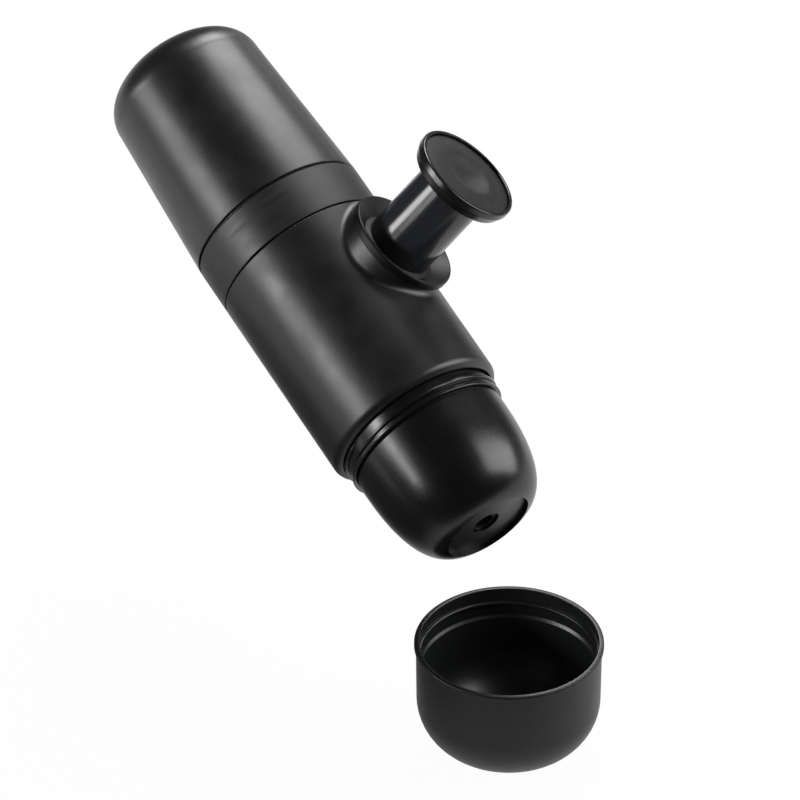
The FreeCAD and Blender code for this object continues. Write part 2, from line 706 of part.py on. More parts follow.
def knob_screw_r():
    """Radius of the screw that holds knob and stem together."""
    return PLUNGER_STEM_R * 0.4


def plunger_seal():
    """Ring in the plunger's groove."""
    outer = BARREL_BORE - RUN
    inner = BARREL_BORE - PLUNGER_RING + RUN
    middle = PLUNGER_TIP + PLUNGER_HEAD_LEN / 2
    half = PLUNGER_RING / 2 - FACE
    return to_pump(Outline(inner, middle - half).to(outer, middle - half, EDGE)
                   .to(outer, middle + half, EDGE).to(inner, middle + half).turned())


def piston_spring():
    """Return spring from the barrel's front end to the knob's spigot."""
    radius = (BARREL_R + BARREL_BORE) / 2
    return to_pump(coil(radius, SPRING_WIRE, BARREL_FRONT + FACE,
                        KNOB_BACK - KNOB_SPIGOT_LEN - FACE, SPRING_TURNS))


def knob():
    """Disc under the thumb, tapered behind, with the spigot that closes the sleeve."""
    spigot_r = SLEEVE_BORE - RUN
    shoulder = KNOB_BACK - KNOB_SPIGOT_LEN
    bore = knob_screw_r() + RUN
    pad_floor = KNOB_FACE - PAD_T
    head_r = knob_screw_r() * 1.8
    return to_pump(Outline(bore, shoulder).to(spigot_r, shoulder, EDGE).to(spigot_r, KNOB_BACK)
                   .to(KNOB_BACK_R, KNOB_BACK, 1.2).to(KNOB_R, KNOB_FACE - KNOB_EDGE_T, 0.6)
                   .to(KNOB_R, KNOB_FACE, 0.6).to(PAD_R + SLIP, KNOB_FACE, 0.2)
                   .to(PAD_R + SLIP, pad_floor).to(head_r + SLIP, pad_floor)
                   .to(head_r + SLIP, pad_floor - 1.6).to(bore, pad_floor - 1.6).turned())


def knob_pad():
    """Soft inlay with a dished face and a round dimple for the thumb."""
    low = KNOB_FACE - PAD_T
    edge = KNOB_FACE - 0.1
    dish = edge - PAD_DISH
    floor = dish - DIMPLE_DEPTH
    return to_pump(Outline(0, low + FACE).to(PAD_R, low + FACE).to(PAD_R, edge, 0.2)
                   .to(DIMPLE_R, dish, DIMPLE_EDGE_ROUND)
                   .to(DIMPLE_R / 2, floor, DIMPLE_FLOOR_ROUND).to(0, floor).turned())


def knob_screw():
    """Screw under the inlay that pulls the knob onto the plunger's stem."""
    top = KNOB_FACE - PAD_T
    radius = knob_screw_r()
    foot = KNOB_BACK - KNOB_SPIGOT_LEN - KNOB_SCREW_LEN / 2
    return to_pump(rod(radius, foot + 0.5, top - 1.6).fuse(rod(radius * 1.8, top - 1.6, top - 0.2)))


def group_head():
    """Neck below the housing: socket for the outlet head and the water's way to the centre."""
    ceiling = Z_SOCKET_TOP
    body_r = BODY_BORE - SLIP
    seal_r = GROUP_SOCKET_R + HEAD_SEAL_W
    shape = (Outline(0, ceiling).to(0, Z_CLAMP).to(body_r, Z_CLAMP, EDGE)
             .to(body_r, Z_HOUSING + HOUSING_ROUND).to(NECK_R, Z_HOUSING + HOUSING_ROUND)
             .to(NECK_R, Z_FLANGE + NECK_LIP_T).to(NECK_LIP_R, Z_FLANGE + NECK_LIP_T, 0.3)
             .to(NECK_LIP_R, Z_FLANGE, EDGE).to(seal_r, Z_FLANGE)
             .to(seal_r, Z_FLANGE + HEAD_SEAL_T).to(GROUP_SOCKET_R, Z_FLANGE + HEAD_SEAL_T)
             .to(GROUP_SOCKET_R, ceiling).turned())
    middle = (ceiling + Z_CLAMP) / 2
    channel = Part.makeCylinder(PORT_R, VALVE_X, Vector(-VALVE_X, 0, middle), Vector(1, 0, 0))
    shape = shape.cut(channel).cut(rod(PORT_R, middle, Z_CLAMP + 1, -VALVE_X))
    for hole in hole_rings(PORT_R / 2, PORT_R * 2.5, 1, ceiling - 1, middle):
        shape = shape.cut(hole)
    shape = shape.cut(ring(PORT_R * 3.2, PORT_R * 2, middle - PORT_R, middle + PORT_R))
    for x, y in posts():
        shape = shape.cut(rod(SCREW_R, Z_CLAMP - SCREW_BITE, Z_CLAMP + 1, x, y))
    return shape.cut(rod(SCREEN_SCREW_R, ceiling - 1, ceiling + SCREEN_SCREW_LEN - 2))


def group_gasket():
    """Soft ring that the basket's rim is pressed against."""
    basket_top = Z_HEAD_NECK_TOP + BASKET_FLANGE_T + FACE
    return ring(GROUP_SOCKET_R - RUN, GROUP_SOCKET_R - GROUP_GASKET_W, basket_top + FACE, Z_SOCKET_TOP)


def shower_screen():
    """Perforated disc that spreads the water over the coffee."""
    top = Z_SOCKET_TOP
    disc = ring(SCREEN_R, SCREEN_SCREW_R + RUN, top - SCREEN_T, top)
    for hole in hole_rings(SCREEN_HOLE_R, SCREEN_PITCH, SCREEN_RINGS, top - 2, top + 1):
        disc = disc.cut(hole)
    return disc


def screen_screw():
    """Screw in the middle of the shower screen."""
    top = Z_SOCKET_TOP - SCREEN_T
    radius = SCREEN_SCREW_HEAD_R
    head = Outline(0, top - 1.2).to(radius, top - 1.2, 0.5).to(radius, top).to(0, top).turned()
    screw = head.fuse(rod(SCREEN_SCREW_R, top, Z_SOCKET_TOP + SCREEN_SCREW_LEN - 2))
    slot = Part.makeBox(2 * radius, radius * 0.25, 0.6, Vector(-radius, -radius * 0.125, top - 1.2))
    return screw.cut(slot)


def outlet_head():
    """Rounded head with a recessed outlet face and the neck that screws into the group head."""
    side = HEAD_LEN - HEAD_SIDE
    top = Z_HEAD_NECK_TOP
    floor = RECESS_DEPTH + HEAD_FLOOR_T
    body = (Outline(0, 0).to(HEAD_TIP_R, 0).dome(HEAD_R, side, HEAD_POWER)
            .to(HEAD_R, HEAD_LEN, EDGE).to(HEAD_NECK_R, HEAD_LEN)
            .to(HEAD_NECK_R, top, EDGE).to(0, top).turned())
    chamber = (Outline(0, floor).to(SPOUT_FLANGE_R + SLIP, floor)
               .dome(HEAD_BORE, HEAD_CHAMBER, HEAD_POWER).to(HEAD_BORE, top + 1).to(0, top + 1).turned())
    body = body.cut(chamber).cut(rod(RECESS_R, -1, RECESS_DEPTH))
    return body.cut(rod(OUTLET_R, 0, floor + 1))


def spout_insert():
    """Flanged nozzle in the outlet, which stands clear of the hole's wall."""
    floor = RECESS_DEPTH + HEAD_FLOOR_T
    low = RECESS_DEPTH + SPOUT_SUNK
    top = floor + SPOUT_FLANGE_T
    return (Outline(SPOUT_BORE, low).to(SPOUT_R, low, EDGE).to(SPOUT_R, floor)
            .to(SPOUT_FLANGE_R, floor).to(SPOUT_FLANGE_R, top, EDGE).to(SPOUT_BORE, top).turned())


def head_seal():
    """Ring on the outlet head's neck, seen as the dark line above the head."""
    return ring(GROUP_SOCKET_R + HEAD_SEAL_W - RUN, HEAD_NECK_R + RUN, HEAD_LEN + FACE,
                Z_FLANGE + HEAD_SEAL_T - FACE)


def filter_basket():
    """Coffee basket: a rim that hangs on the head's neck, a wall and a ledge for its screen."""
    rim = Z_HEAD_NECK_TOP + FACE
    top = rim + BASKET_FLANGE_T
    low = top - BASKET_DEPTH
    bore = BASKET_R - BASKET_WALL
    return (Outline(bore, top).to(HEAD_NECK_R - RUN, top, 0.3).to(HEAD_NECK_R - RUN, rim)
            .to(BASKET_R, rim).to(BASKET_R - 0.6, low, 0.6).to(bore - BASKET_LEDGE, low)
            .to(bore - BASKET_LEDGE, low + BASKET_WALL).to(bore - 0.6, low + BASKET_WALL).turned())


def basket_screen():
    """Perforated disc on the basket's ledge, which the coffee lies on."""
    low = Z_HEAD_NECK_TOP + FACE + BASKET_FLANGE_T - BASKET_DEPTH + BASKET_WALL
    radius = BASKET_R - BASKET_WALL - 0.6 - SLIP
    disc = rod(radius, low, low + SCREEN_T)
    for hole in hole_rings(SCREEN_HOLE_R, SCREEN_PITCH, SCREEN_RINGS, low - 1, low + 2):
        disc = disc.cut(hole)
    return disc


def drinking_cup():
    """Round-bottomed cup with a small lip; its mouth is relieved for the cap thread."""
    lip = CUP_H - CUP_LIP_H
    relief = CUP_H - CUP_MOUTH_H
    mouth = CUP_TOP_R - CUP_MOUTH_WALL
    bore = CUP_TOP_R - CUP_WALL
    return (Outline(0, 0).to(CUP_R, 0, CUP_ROUND).to(CUP_TOP_R, lip)
            .to(CUP_LIP_R, lip, 0.3).to(CUP_LIP_R, CUP_H, 0.6).to(mouth, CUP_H, 0.3)
            .to(mouth, relief).to(bore, relief - 1.0).to(CUP_R - CUP_WALL, CUP_WALL, CUP_ROUND - CUP_WALL)
            .to(0, CUP_WALL).turned())


def held(shape):
    """Turns a piece of the upright maker into its place over the cup."""
    turn = Rotation(Vector(0, 1, 0), -TILT).multiply(Rotation(Vector(0, 0, 1), SPIN))
    pose = Placement(Vector(-SPOUT_OFFSET, 0, SPOUT_HEIGHT), turn)
    moved = shape.copy()
    moved.Placement = pose.multiply(shape.Placement)
    return moved


def maker_pieces():
    """Every piece of the maker by name, still upright."""
    return {
        "main_housing": main_housing(),
        "tank_collar": tank_collar(),
        "water_tank": water_tank(),
        "tank_gasket": tank_gasket(),
        "pump_frame": pump_frame(),
        "frame_seal": frame_seal(),
        "inlet_strainer": inlet_strainer(),
        "vent_valve": vent_valve(),
        "tie_screws": tie_screws(),
        "pump_barrel": pump_barrel(),
        "valve_block": valve_block(),
        "inlet_valve_seat": inlet_valve_seat(),
        "inlet_ball": valve_ball(inlet_seat_level()),
        "inlet_spring": valve_spring(inlet_seat_level()),
        "outlet_ball": valve_ball(outlet_seat_level()),
        "outlet_spring": valve_spring(outlet_seat_level()),
        "outlet_retainer": outlet_retainer(),
        "piston_collar": piston_collar(),
        "rod_bush": rod_bush(),
        "wiper_seal": wiper_seal(),
        "piston_sleeve": piston_sleeve(),
        "plunger": plunger(),
        "plunger_seal": plunger_seal(),
        "piston_spring": piston_spring(),
        "knob": knob(),
        "knob_pad": knob_pad(),
        "knob_screw": knob_screw(),
        "group_head": group_head(),
        "group_gasket": group_gasket(),
        "shower_screen": shower_screen(),
        "screen_screw": screen_screw(),
        "outlet_head": outlet_head(),
        "spout_insert": spout_insert(),
        "head_seal": head_seal(),
        "filter_basket": filter_basket(),
        "basket_screen": basket_screen(),
    }


def main():
    """Writes each piece to its own file."""
    os.makedirs("parts", exist_ok=True)
    for name, shape in maker_pieces().items():
        held(shape).exportStep(f"parts/{name}.step")
    drinking_cup().exportStep("parts/drinking_cup.step")


main()
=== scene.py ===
"""Dresses the handheld espresso maker and its cup: screw threads, finishes, camera and studio.

Every length is in millimetres until a mesh or a node takes it, and the maker is described
upright, with its outlet at height 0 and its tank on top, before it is laid into its pouring tilt.
"""

import json
import logging
import math
from dataclasses import dataclass, field
from enum import Enum
from typing import Any, Optional, Sequence

import bpy
import numpy as np
from mathutils import Matrix, Vector

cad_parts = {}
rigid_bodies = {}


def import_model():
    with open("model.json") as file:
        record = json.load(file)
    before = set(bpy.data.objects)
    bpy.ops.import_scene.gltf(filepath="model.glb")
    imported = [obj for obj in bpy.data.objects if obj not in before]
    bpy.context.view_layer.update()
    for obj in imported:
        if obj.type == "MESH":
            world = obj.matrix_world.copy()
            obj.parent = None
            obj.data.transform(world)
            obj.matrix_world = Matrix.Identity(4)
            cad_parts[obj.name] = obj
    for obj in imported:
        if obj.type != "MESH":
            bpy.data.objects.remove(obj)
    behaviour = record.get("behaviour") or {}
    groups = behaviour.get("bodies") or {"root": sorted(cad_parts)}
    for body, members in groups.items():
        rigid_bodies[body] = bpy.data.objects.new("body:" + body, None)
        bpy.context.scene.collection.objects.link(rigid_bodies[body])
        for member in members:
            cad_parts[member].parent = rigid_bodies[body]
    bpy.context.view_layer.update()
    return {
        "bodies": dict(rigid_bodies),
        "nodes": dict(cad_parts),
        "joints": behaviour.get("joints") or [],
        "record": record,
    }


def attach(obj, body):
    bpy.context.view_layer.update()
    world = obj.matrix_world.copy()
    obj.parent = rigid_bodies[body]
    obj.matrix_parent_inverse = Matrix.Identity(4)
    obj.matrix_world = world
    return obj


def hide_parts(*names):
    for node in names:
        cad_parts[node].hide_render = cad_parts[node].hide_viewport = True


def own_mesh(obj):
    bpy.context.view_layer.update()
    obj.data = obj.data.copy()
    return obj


LOG = logging.getLogger("espresso_maker")
MM = 0.001
Array = np.ndarray
Finish = bpy.types.Material
PUMP_LEVEL = 90.5       # height of the pump's axis on the maker's axis
TANK_LEAD = 6.0         # rise in one turn of the tank's thread
TANK_THREAD = 119.2     # level at which its ridges on the neck and in the collar begin
HEAD_LEAD = 9.0         # rise in one turn of the outlet head's thread, which has two starts
HEAD_THREAD = 38.5      # level at which the ridges round the outlet head's neck begin
CAP_LEAD = 3.2          # rise in one turn of the thread that the cup screws on
RIDGE_H = 0.24          # how far a ridge stands out inside a joint
SHARP_ANGLE = 50.0      # degrees between two faces above which their edge is sharp
NOISE_SPAN = {"From Min": 0.3, "From Max": 0.7}     # nearly all of a noise lies in it
SMOOTH = {"interpolation_type": "SMOOTHSTEP"}       # level where a rise begins and ends
TOWARDS_CAMERA = (0.815, -0.579, 0.0)               # level direction from the object to the camera
TO_THE_BACK = (-0.815, 0.579, 0.0)                  # the opposite direction


class Body(Enum):
    """The moving bodies that pieces ride on."""

    MAIN = "main_body"
    TANK = "tank"
    HEAD = "head"
    PISTON = "piston"
    CUP = "cup"


class Side(Enum):
    """Which way a thread stands on its wall."""

    OUTSIDE = 1.0
    INSIDE = -1.0


# ---------------------------------------------------------------- placing


@dataclass(frozen=True)
class Pouring:
    """The maker's place in the scene while it is held for pouring.

    Attributes:
        tilt: degrees that its axis leans from upright, tank end first.
        spin: degrees that its pump is turned round that axis.
        outlet: where the centre of its outlet end is, in millimetres.
    """

    tilt: float = 65.2
    spin: float = 29.9
    outlet: tuple[float, float, float] = (-11.3, 0.0, 76.8)

    def matrix(self) -> Array:
        """Works out the rotation: spin about the maker's axis first, then the lean about y.

        Returns:
            The 3 by 3 matrix.
        """
        t, s = math.radians(-self.tilt), math.radians(self.spin)
        lean = np.array([[math.cos(t), 0, math.sin(t)], [0, 1, 0], [-math.sin(t), 0, math.cos(t)]])
        turn = np.array([[math.cos(s), -math.sin(s), 0], [math.sin(s), math.cos(s), 0], [0, 0, 1]])
        return lean @ turn

    def place(self, points: Array) -> Array:
        """Moves upright points to where they are held: rotation times point, plus the outlet."""
        return points @ self.matrix().T + np.array(self.outlet)

    def euler(self) -> tuple[float, float, float]:
        """Works out the angles that turn held coordinates back to the upright maker's.

        Returns:
            The angles about x, y and z, in radians.
        """
        turned = self.matrix().T
        pitch = math.asin(-turned[2, 0])
        return (math.atan2(turned[2, 1], turned[2, 2]), pitch, math.atan2(turned[1, 0], turned[0, 0]))


HELD = Pouring()


# ---------------------------------------------------------------- meshes


def rounded_profile(corners: Sequence[tuple[float, float, float]], steps: int = 8) -> Array:
    """Rounds the corners of an open section.

    A corner of radius r between two sides becomes an arc that leaves each side r / tan(half the
    angle between them) before the corner. A skirt, one more point just outside each end of the
    arc, keeps the shading of the straight sides flat.

    Args:
        corners: radius, height and rounding of each corner, in millimetres.
        steps: parts that an arc is divided into.

    Returns:
        The points of the section, one row of radius and height each.
    """
    skirt_mm, skirt_share, side_share = 0.12, 0.3, 0.98
    rows = []
    for i, (radius, height, rounding) in enumerate(corners):
        here = np.array([radius, height])
        if rounding <= 0 or i in (0, len(corners) - 1):
            rows.append(here[None])
            continue
        back = np.array(corners[i - 1][:2]) - here
        ahead = np.array(corners[i + 1][:2]) - here
        back_len, ahead_len = np.linalg.norm(back), np.linalg.norm(ahead)
        back, ahead = back / back_len, ahead / ahead_len
        half = math.acos(float(np.clip(back @ ahead, -1, 1))) / 2
        reach = rounding / math.tan(half)
        middle = here + (back + ahead) / np.linalg.norm(back + ahead) * rounding / math.sin(half)
        start, end = here + back * reach - middle, here + ahead * reach - middle
        sweep = math.pi - 2 * half
        share = np.linspace(0, 1, steps + 1)[:, None]
        arc = (np.sin((1 - share) * sweep) * start + np.sin(share * sweep) * end) / math.sin(sweep)
        skirt = min(skirt_mm, skirt_share * rounding)
        lead_in = (here + back * min(reach + skirt, back_len * side_share))[None]
        lead_out = (here + ahead * min(reach + skirt, ahead_len * side_share))[None]
        rows.append(np.vstack([lead_in, arc + middle, lead_out]))
    return np.vstack(rows)


def lathe(profile: Array, segments: int = 180) -> tuple[Array, list]:
    """Turns an open section whose two ends lie on the axis into a closed skin.

    Point (i, j) is (r_i cos a_j, r_i sin a_j, z_i), with a_j going round once. Each end is a
    single point, joined to its neighbours by triangles.

    Args:
        profile: radius and height of each point, from one end on the axis to the other.
        segments: parts of a full turn.

    Returns:
        The points and the faces.
    """
    turn = np.linspace(0, 2 * math.pi, segments, endpoint=False)
    inner = profile[1:-1]
    ring = np.stack([inner[:, :1] * np.cos(turn), inner[:, :1] * np.sin(turn),
                     np.repeat(inner[:, 1:], segments, 1)], -1).reshape(-1, 3)
    points = np.vstack([ring, [[0, 0, profile[0, 1]], [0, 0, profile[-1, 1]]]])
    rows = len(inner)
    near = np.arange(segments)
    far = (near + 1) % segments
    level = (np.arange(rows - 1) * segments)[:, None]
    quads = np.stack([level + near, level + far, level + segments + far, level + segments + near], -1)
    first, last = len(ring), len(ring) + 1
    top = (rows - 1) * segments
    caps = np.vstack([np.stack([np.full(segments, first), far, near], -1),
                      np.stack([np.full(segments, last), top + near, top + far], -1)])
    return points, quads.reshape(-1, 4).tolist() + caps.tolist()


def swept_faces(count: int, parts: int) -> list:
    """Joins sections that follow each other into a skin, with a face over each end.

    Args:
        count: how many sections there are.
        parts: points in one section, which go round it.

    Returns:
        The faces.
    """
    near, far = np.arange(parts), (np.arange(parts) + 1) % parts
    base = (np.arange(count - 1) * parts)[:, None]
    quads = np.stack([base + near, base + parts + near, base + parts + far, base + far], -1)
    ends = [list(range(parts)), list(range(count * parts - 1, (count - 1) * parts - 1, -1))]
    return quads.reshape(-1, 4).tolist() + ends


@dataclass(frozen=True)
class Thread:
    """A screw thread's ridge, in millimetres.

    Attributes:
        wall: radius of the wall it stands on.
        height: how far it stands out.
        width: its width on the wall.
        start: height of its middle where it begins.
        lead: rise in one turn.
        turns: how many turns it makes.
        side: on the outside of a neck, or inside a socket.
        begin: degrees at which it begins.
        fade: turns over which each end runs out.
        square: 2 gives a round back, more gives a flatter crest.
        sunk: how deep its foot lies in the wall.
        steps: sections in one turn.
    """

    wall: float
    height: float
    width: float
    start: float
    lead: float
    turns: float
    side: Side = Side.OUTSIDE
    begin: float = 0.0
    fade: float = 0.06
    square: float = 3.0
    sunk: float = 0.22
    steps: int = 120

    def mesh(self) -> tuple[Array, list]:
        """Sweeps the ridge's section along a helix.

        The section is half a superellipse, height * |sin q|^(2/square) out from the wall and
        width / 2 * cos q to the power 2/square along it, with two more points sunk into the
        wall. The helix has angle begin + 2 pi t and level start + lead * t. At each end the
        section grows by a smooth step from a narrow one just under the wall to the full one.

        Returns:
            The points, in the maker's upright frame, and the faces.
        """
        end_width, end_depth, section_points = 0.35, 0.05, 13
        along = np.linspace(0, self.turns, int(self.turns * self.steps) + 2)
        q = np.linspace(0, math.pi, section_points)
        power = 2 / self.square
        across = -np.sign(np.cos(q)) * np.abs(np.cos(q)) ** power * self.width / 2
        out = np.abs(np.sin(q)) ** power * self.height
        across = np.concatenate([[-self.width / 2], across, [self.width / 2]])
        out = np.concatenate([[-self.sunk], out, [-self.sunk]])
        edge = np.clip(np.minimum(along, self.turns - along) / self.fade, 0, 1)[:, None]
        grow = edge * edge * (3 - 2 * edge)
        angle = (math.radians(self.begin) + 2 * math.pi * along)[:, None]
        lift = np.where(out > 0, out * grow - end_depth * (1 - grow), out)
        radius = self.wall + self.side.value * lift
        level = self.start + self.lead * along[:, None] + across * (end_width + (1 - end_width) * grow)
        points = np.stack([radius * np.cos(angle), radius * np.sin(angle), level], -1)
        faces = swept_faces(*points.shape[:2])
        if self.side is Side.INSIDE:
            faces = [face[::-1] for face in faces]
        return points.reshape(-1, 3), faces


@dataclass(frozen=True)
class CoilSpring:
    """A compression spring with closed ends, in millimetres in the maker's upright frame.

    Attributes:
        node: the CAD node that it stands for.
        joint: the joint that presses it; not used.
        foot: the end that stays, on the spring's axis.
        tip: the end that is pressed.
        radius: from the axis to the middle of the wire.
        wire: the wire's diameter.
        turns: how many turns it makes, its two closed ones among them.
        travel: how far the joint presses it; not used.
        closed: rise of a closed turn, in wires.
        steps: sections in one turn.
        sides: points round the wire.
    """

    node: str
    joint: str
    foot: tuple[float, float, float]
    tip: tuple[float, float, float]
    radius: float
    wire: float
    turns: int
    travel: float
    closed: float = 1.04
    steps: int = 48
    sides: int = 12

    def length(self) -> float:
        """Gives its length at rest."""
        return math.dist(self.foot, self.tip)

    def mesh(self) -> tuple[Array, list]:
        """Sweeps the wire's circle along a helix about the line from foot to tip.

        The helix has angle 2 pi t. It climbs by little more than a wire in its first and in its
        last turn, which lie against their neighbours, and evenly in between. A point at angle q
        on the circle is wire / 2 * cos q further out and wire / 2 * sin q higher.

        Returns:
            The points, in the maker's upright frame, and the faces.
        """
        closed, thick = self.closed * self.wire, self.wire / 2
        foot = np.array(self.foot)
        axis = (np.array(self.tip) - foot) / self.length()
        across = np.array([0.0, 1.0, 0.0])
        side = np.cross(across, axis)
        along = np.linspace(0, self.turns, self.turns * self.steps + 1)
        last = self.length() - thick
        climb = np.interp(along, [0, 1, self.turns - 1, self.turns],
                          [thick, thick + closed, last - closed, last])
        angle = (2 * math.pi * along)[:, None, None]
        q = np.linspace(0, 2 * math.pi, self.sides, endpoint=False)
        reach = (self.radius + thick * np.cos(q))[:, None]
        level = (climb[:, None] + thick * np.sin(q))[:, :, None]
        points = foot + reach * (np.cos(angle) * side + np.sin(angle) * across) + level * axis
        return points.reshape(-1, 3), swept_faces(*points.shape[:2])


def make_piece(name: str, points: Array, faces: list, body: Body,
               finishes: Sequence[Finish], face_finish: Optional[Array] = None) -> bpy.types.Object:
    """Makes an object at the origin from points in millimetres, rides it and dresses it.

    Args:
        name: the piece's name.
        points: its points, where they belong in the scene, in millimetres.
        faces: its faces, as lists of point numbers.
        body: the body it rides on.
        finishes: its materials.
        face_finish: number of each face's material, if it has more than one.

    Returns:
        The object.
    """
    mesh = bpy.data.meshes.new(name)
    mesh.from_pydata((points * MM).tolist(), [], faces)
    for finish in finishes:
        mesh.materials.append(finish)
    mesh.polygons.foreach_set("use_smooth", np.ones(len(mesh.polygons), bool))
    if face_finish is not None:
        mesh.polygons.foreach_set("material_index", face_finish.astype(np.int32))
    mesh.update()
    mesh.set_sharp_from_angle(angle=math.radians(SHARP_ANGLE))
    piece = bpy.data.objects.new(name, mesh)
    bpy.context.scene.collection.objects.link(piece)
    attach(piece, body.value)
    LOG.info("built %s", name)
    return piece


# ---------------------------------------------------------------- finishes


def linear(colour: str) -> tuple[float, float, float, float]:
    """Turns an sRGB colour into linear light: (c + 0.055) / 1.055 to the power 2.4.

    Args:
        colour: the colour in hex.

    Returns:
        Its red, green and blue, from 0 to 1, and 1 for opaque.
    """
    parts = [int(colour[i:i + 2], 16) / 255 for i in (1, 3, 5)]
    light = [c / 12.92 if c <= 0.04045 else ((c + 0.055) / 1.055) ** 2.4 for c in parts]
    return (*light, 1.0)


def add(tree: bpy.types.NodeTree, kind: str, inputs: Optional[dict] = None,
        **settings: Any) -> bpy.types.Node:
    """Adds a node with its settings, values and links.

    Args:
        tree: the node tree.
        kind: the node's type.
        inputs: value or output socket for each input, by name or number.
        settings: properties of the node itself.

    Returns:
        The node.
    """
    node = tree.nodes.new(kind)
    for key, value in settings.items():
        setattr(node, key, value)
    for key, value in (inputs or {}).items():
        if isinstance(value, bpy.types.NodeSocket):
            tree.links.new(value, node.inputs[key])
        else:
            node.inputs[key].default_value = value
    return node


def fresh_material(name: str) -> tuple[Finish, bpy.types.NodeTree]:
    """Makes an empty node material.

    Args:
        name: what the material is.

    Returns:
        The material and its node tree.
    """
    material = bpy.data.materials.new(name)
    material.use_nodes = True
    material.node_tree.nodes.clear()
    return material, material.node_tree


def held_coordinates(tree: bpy.types.NodeTree) -> bpy.types.NodeSocket:
    """Turns object coordinates back into the upright maker's frame.

    Args:
        tree: the material's node tree.

    Returns:
        The socket that gives them, in metres.
    """
    place = add(tree, "ShaderNodeTexCoord").outputs["Object"]
    centred = add(tree, "ShaderNodeVectorMath",
                  {0: place, 1: tuple(c * MM for c in HELD.outlet)}, operation="SUBTRACT")
    return add(tree, "ShaderNodeMapping", {"Vector": centred.outputs[0], "Rotation": HELD.euler()},
               vector_type="POINT").outputs[0]


@dataclass(frozen=True)
class MouldedPlastic:
    """Black ABS or polypropylene out of a steel mould.

    The mould's spark-eroded skin leaves a fine grain that breaks up highlights, and the flow of
    the plastic leaves cloudy patches a little glossier than the rest.

    Attributes:
        name: what the plastic is.
        colour: its colour.
        roughness: its mean roughness.
        patchiness: how much the roughness differs from patch to patch.
        grain_mm: size of the grain; the real one is finer, and this is as coarse as shows.
        grain_depth_mm: how deep the grain is.
        patch_mm: size of the cloudy patches.
        ior: how strongly it mirrors.
        drag: how far the patches are stretched round the maker's axis, 1 for not at all.
        dust: light that the dullest patches add to their colour.
        dust_gain: how many times lighter their colour is besides.
    """

    name: str
    colour: str
    roughness: float
    patchiness: float = 0.05
    grain_mm: float = 0.45
    grain_depth_mm: float = 0.009
    patch_mm: float = 9.0
    ior: float = 1.56
    drag: float = 1.0
    dust: float = 0.0012
    dust_gain: float = 1.25

    def build(self) -> Finish:
        """Makes the material.

        Returns:
            The material.
        """
        material, tree = fresh_material(self.name)
        place = held_coordinates(tree)
        stretched = add(tree, "ShaderNodeMapping",
                        {"Vector": place, "Scale": (1 / self.drag, 1 / self.drag, 1.0)}).outputs[0]
        patches = add(tree, "ShaderNodeTexNoise",
                      {"Vector": stretched, "Scale": 1 / (self.patch_mm * MM), "Detail": 4.0,
                       "Roughness": 0.6})
        grain = add(tree, "ShaderNodeTexNoise",
                    {"Vector": place, "Scale": 1 / (self.grain_mm * MM), "Detail": 2.0,
                     "Roughness": 0.7})
        rough = add(tree, "ShaderNodeMapRange",
                    {"Value": patches.outputs[0], **NOISE_SPAN,
                     "To Min": self.roughness - self.patchiness,
                     "To Max": self.roughness + self.patchiness})
        shade = linear(self.colour)
        dusty = tuple(min(1.0, self.dust_gain * c + self.dust) for c in shade[:3]) + (1.0,)
        factor, first, second, mixed = 0, 6, 7, 2
        colour = add(tree, "ShaderNodeMix", {factor: patches.outputs[0], first: shade, second: dusty},
                     data_type="RGBA")
        bump = add(tree, "ShaderNodeBump",
                   {"Height": grain.outputs[0], "Strength": 1.0,
                    "Distance": self.grain_depth_mm * MM})
        shader = add(tree, "ShaderNodeBsdfPrincipled",
                     {"Base Color": colour.outputs[mixed], "Roughness": rough.outputs[0],
                      "IOR": self.ior, "Normal": bump.outputs[0]})
        add(tree, "ShaderNodeOutputMaterial", {"Surface": shader.outputs[0]})
        return material


@dataclass(frozen=True)
class CastRubber:
    """Silicone rubber, cast black: a soft sheen and a skin without grain, faintly dusty.

    Attributes:
        name: what the rubber is.
        colour: its colour.
        roughness: its mean roughness.
        patchiness: how much the roughness differs from patch to patch.
        dust_mm: size of the dusty patches.
        skin_mm: size of the faint unevenness of its skin.
        skin_depth_mm: depth of that.
        ior: how strongly it mirrors.
        sheen: how much light its dusty skin throws back at a flat angle.
        sheen_roughness: how widely it spreads that light.
    """

    name: str
    colour: str
    roughness: float
    patchiness: float = 0.07
    dust_mm: float = 3.0
    skin_mm: float = 0.6
    skin_depth_mm: float = 0.006
    ior: float = 1.42
    sheen: float = 0.08
    sheen_roughness: float = 0.4

    def build(self) -> Finish:
        """Makes the material.

        Returns:
            The material.
        """
        material, tree = fresh_material(self.name)
        place = held_coordinates(tree)
        dust = add(tree, "ShaderNodeTexNoise",
                   {"Vector": place, "Scale": 1 / (self.dust_mm * MM), "Detail": 5.0,
                    "Roughness": 0.65})
        skin = add(tree, "ShaderNodeTexNoise",
                   {"Vector": place, "Scale": 1 / (self.skin_mm * MM), "Detail": 2.0})
        rough = add(tree, "ShaderNodeMapRange",
                    {"Value": dust.outputs[0], **NOISE_SPAN,
                     "To Min": self.roughness - self.patchiness,
                     "To Max": self.roughness + self.patchiness})
        bump = add(tree, "ShaderNodeBump",
                   {"Height": skin.outputs[0], "Strength": 1.0,
                    "Distance": self.skin_depth_mm * MM})
        shader = add(tree, "ShaderNodeBsdfPrincipled",
                     {"Base Color": linear(self.colour), "Roughness": rough.outputs[0],
                      "IOR": self.ior, "Sheen Weight": self.sheen,
                      "Sheen Roughness": self.sheen_roughness,
                      "Normal": bump.outputs[0]})
        add(tree, "ShaderNodeOutputMaterial", {"Surface": shader.outputs[0]})
        return material


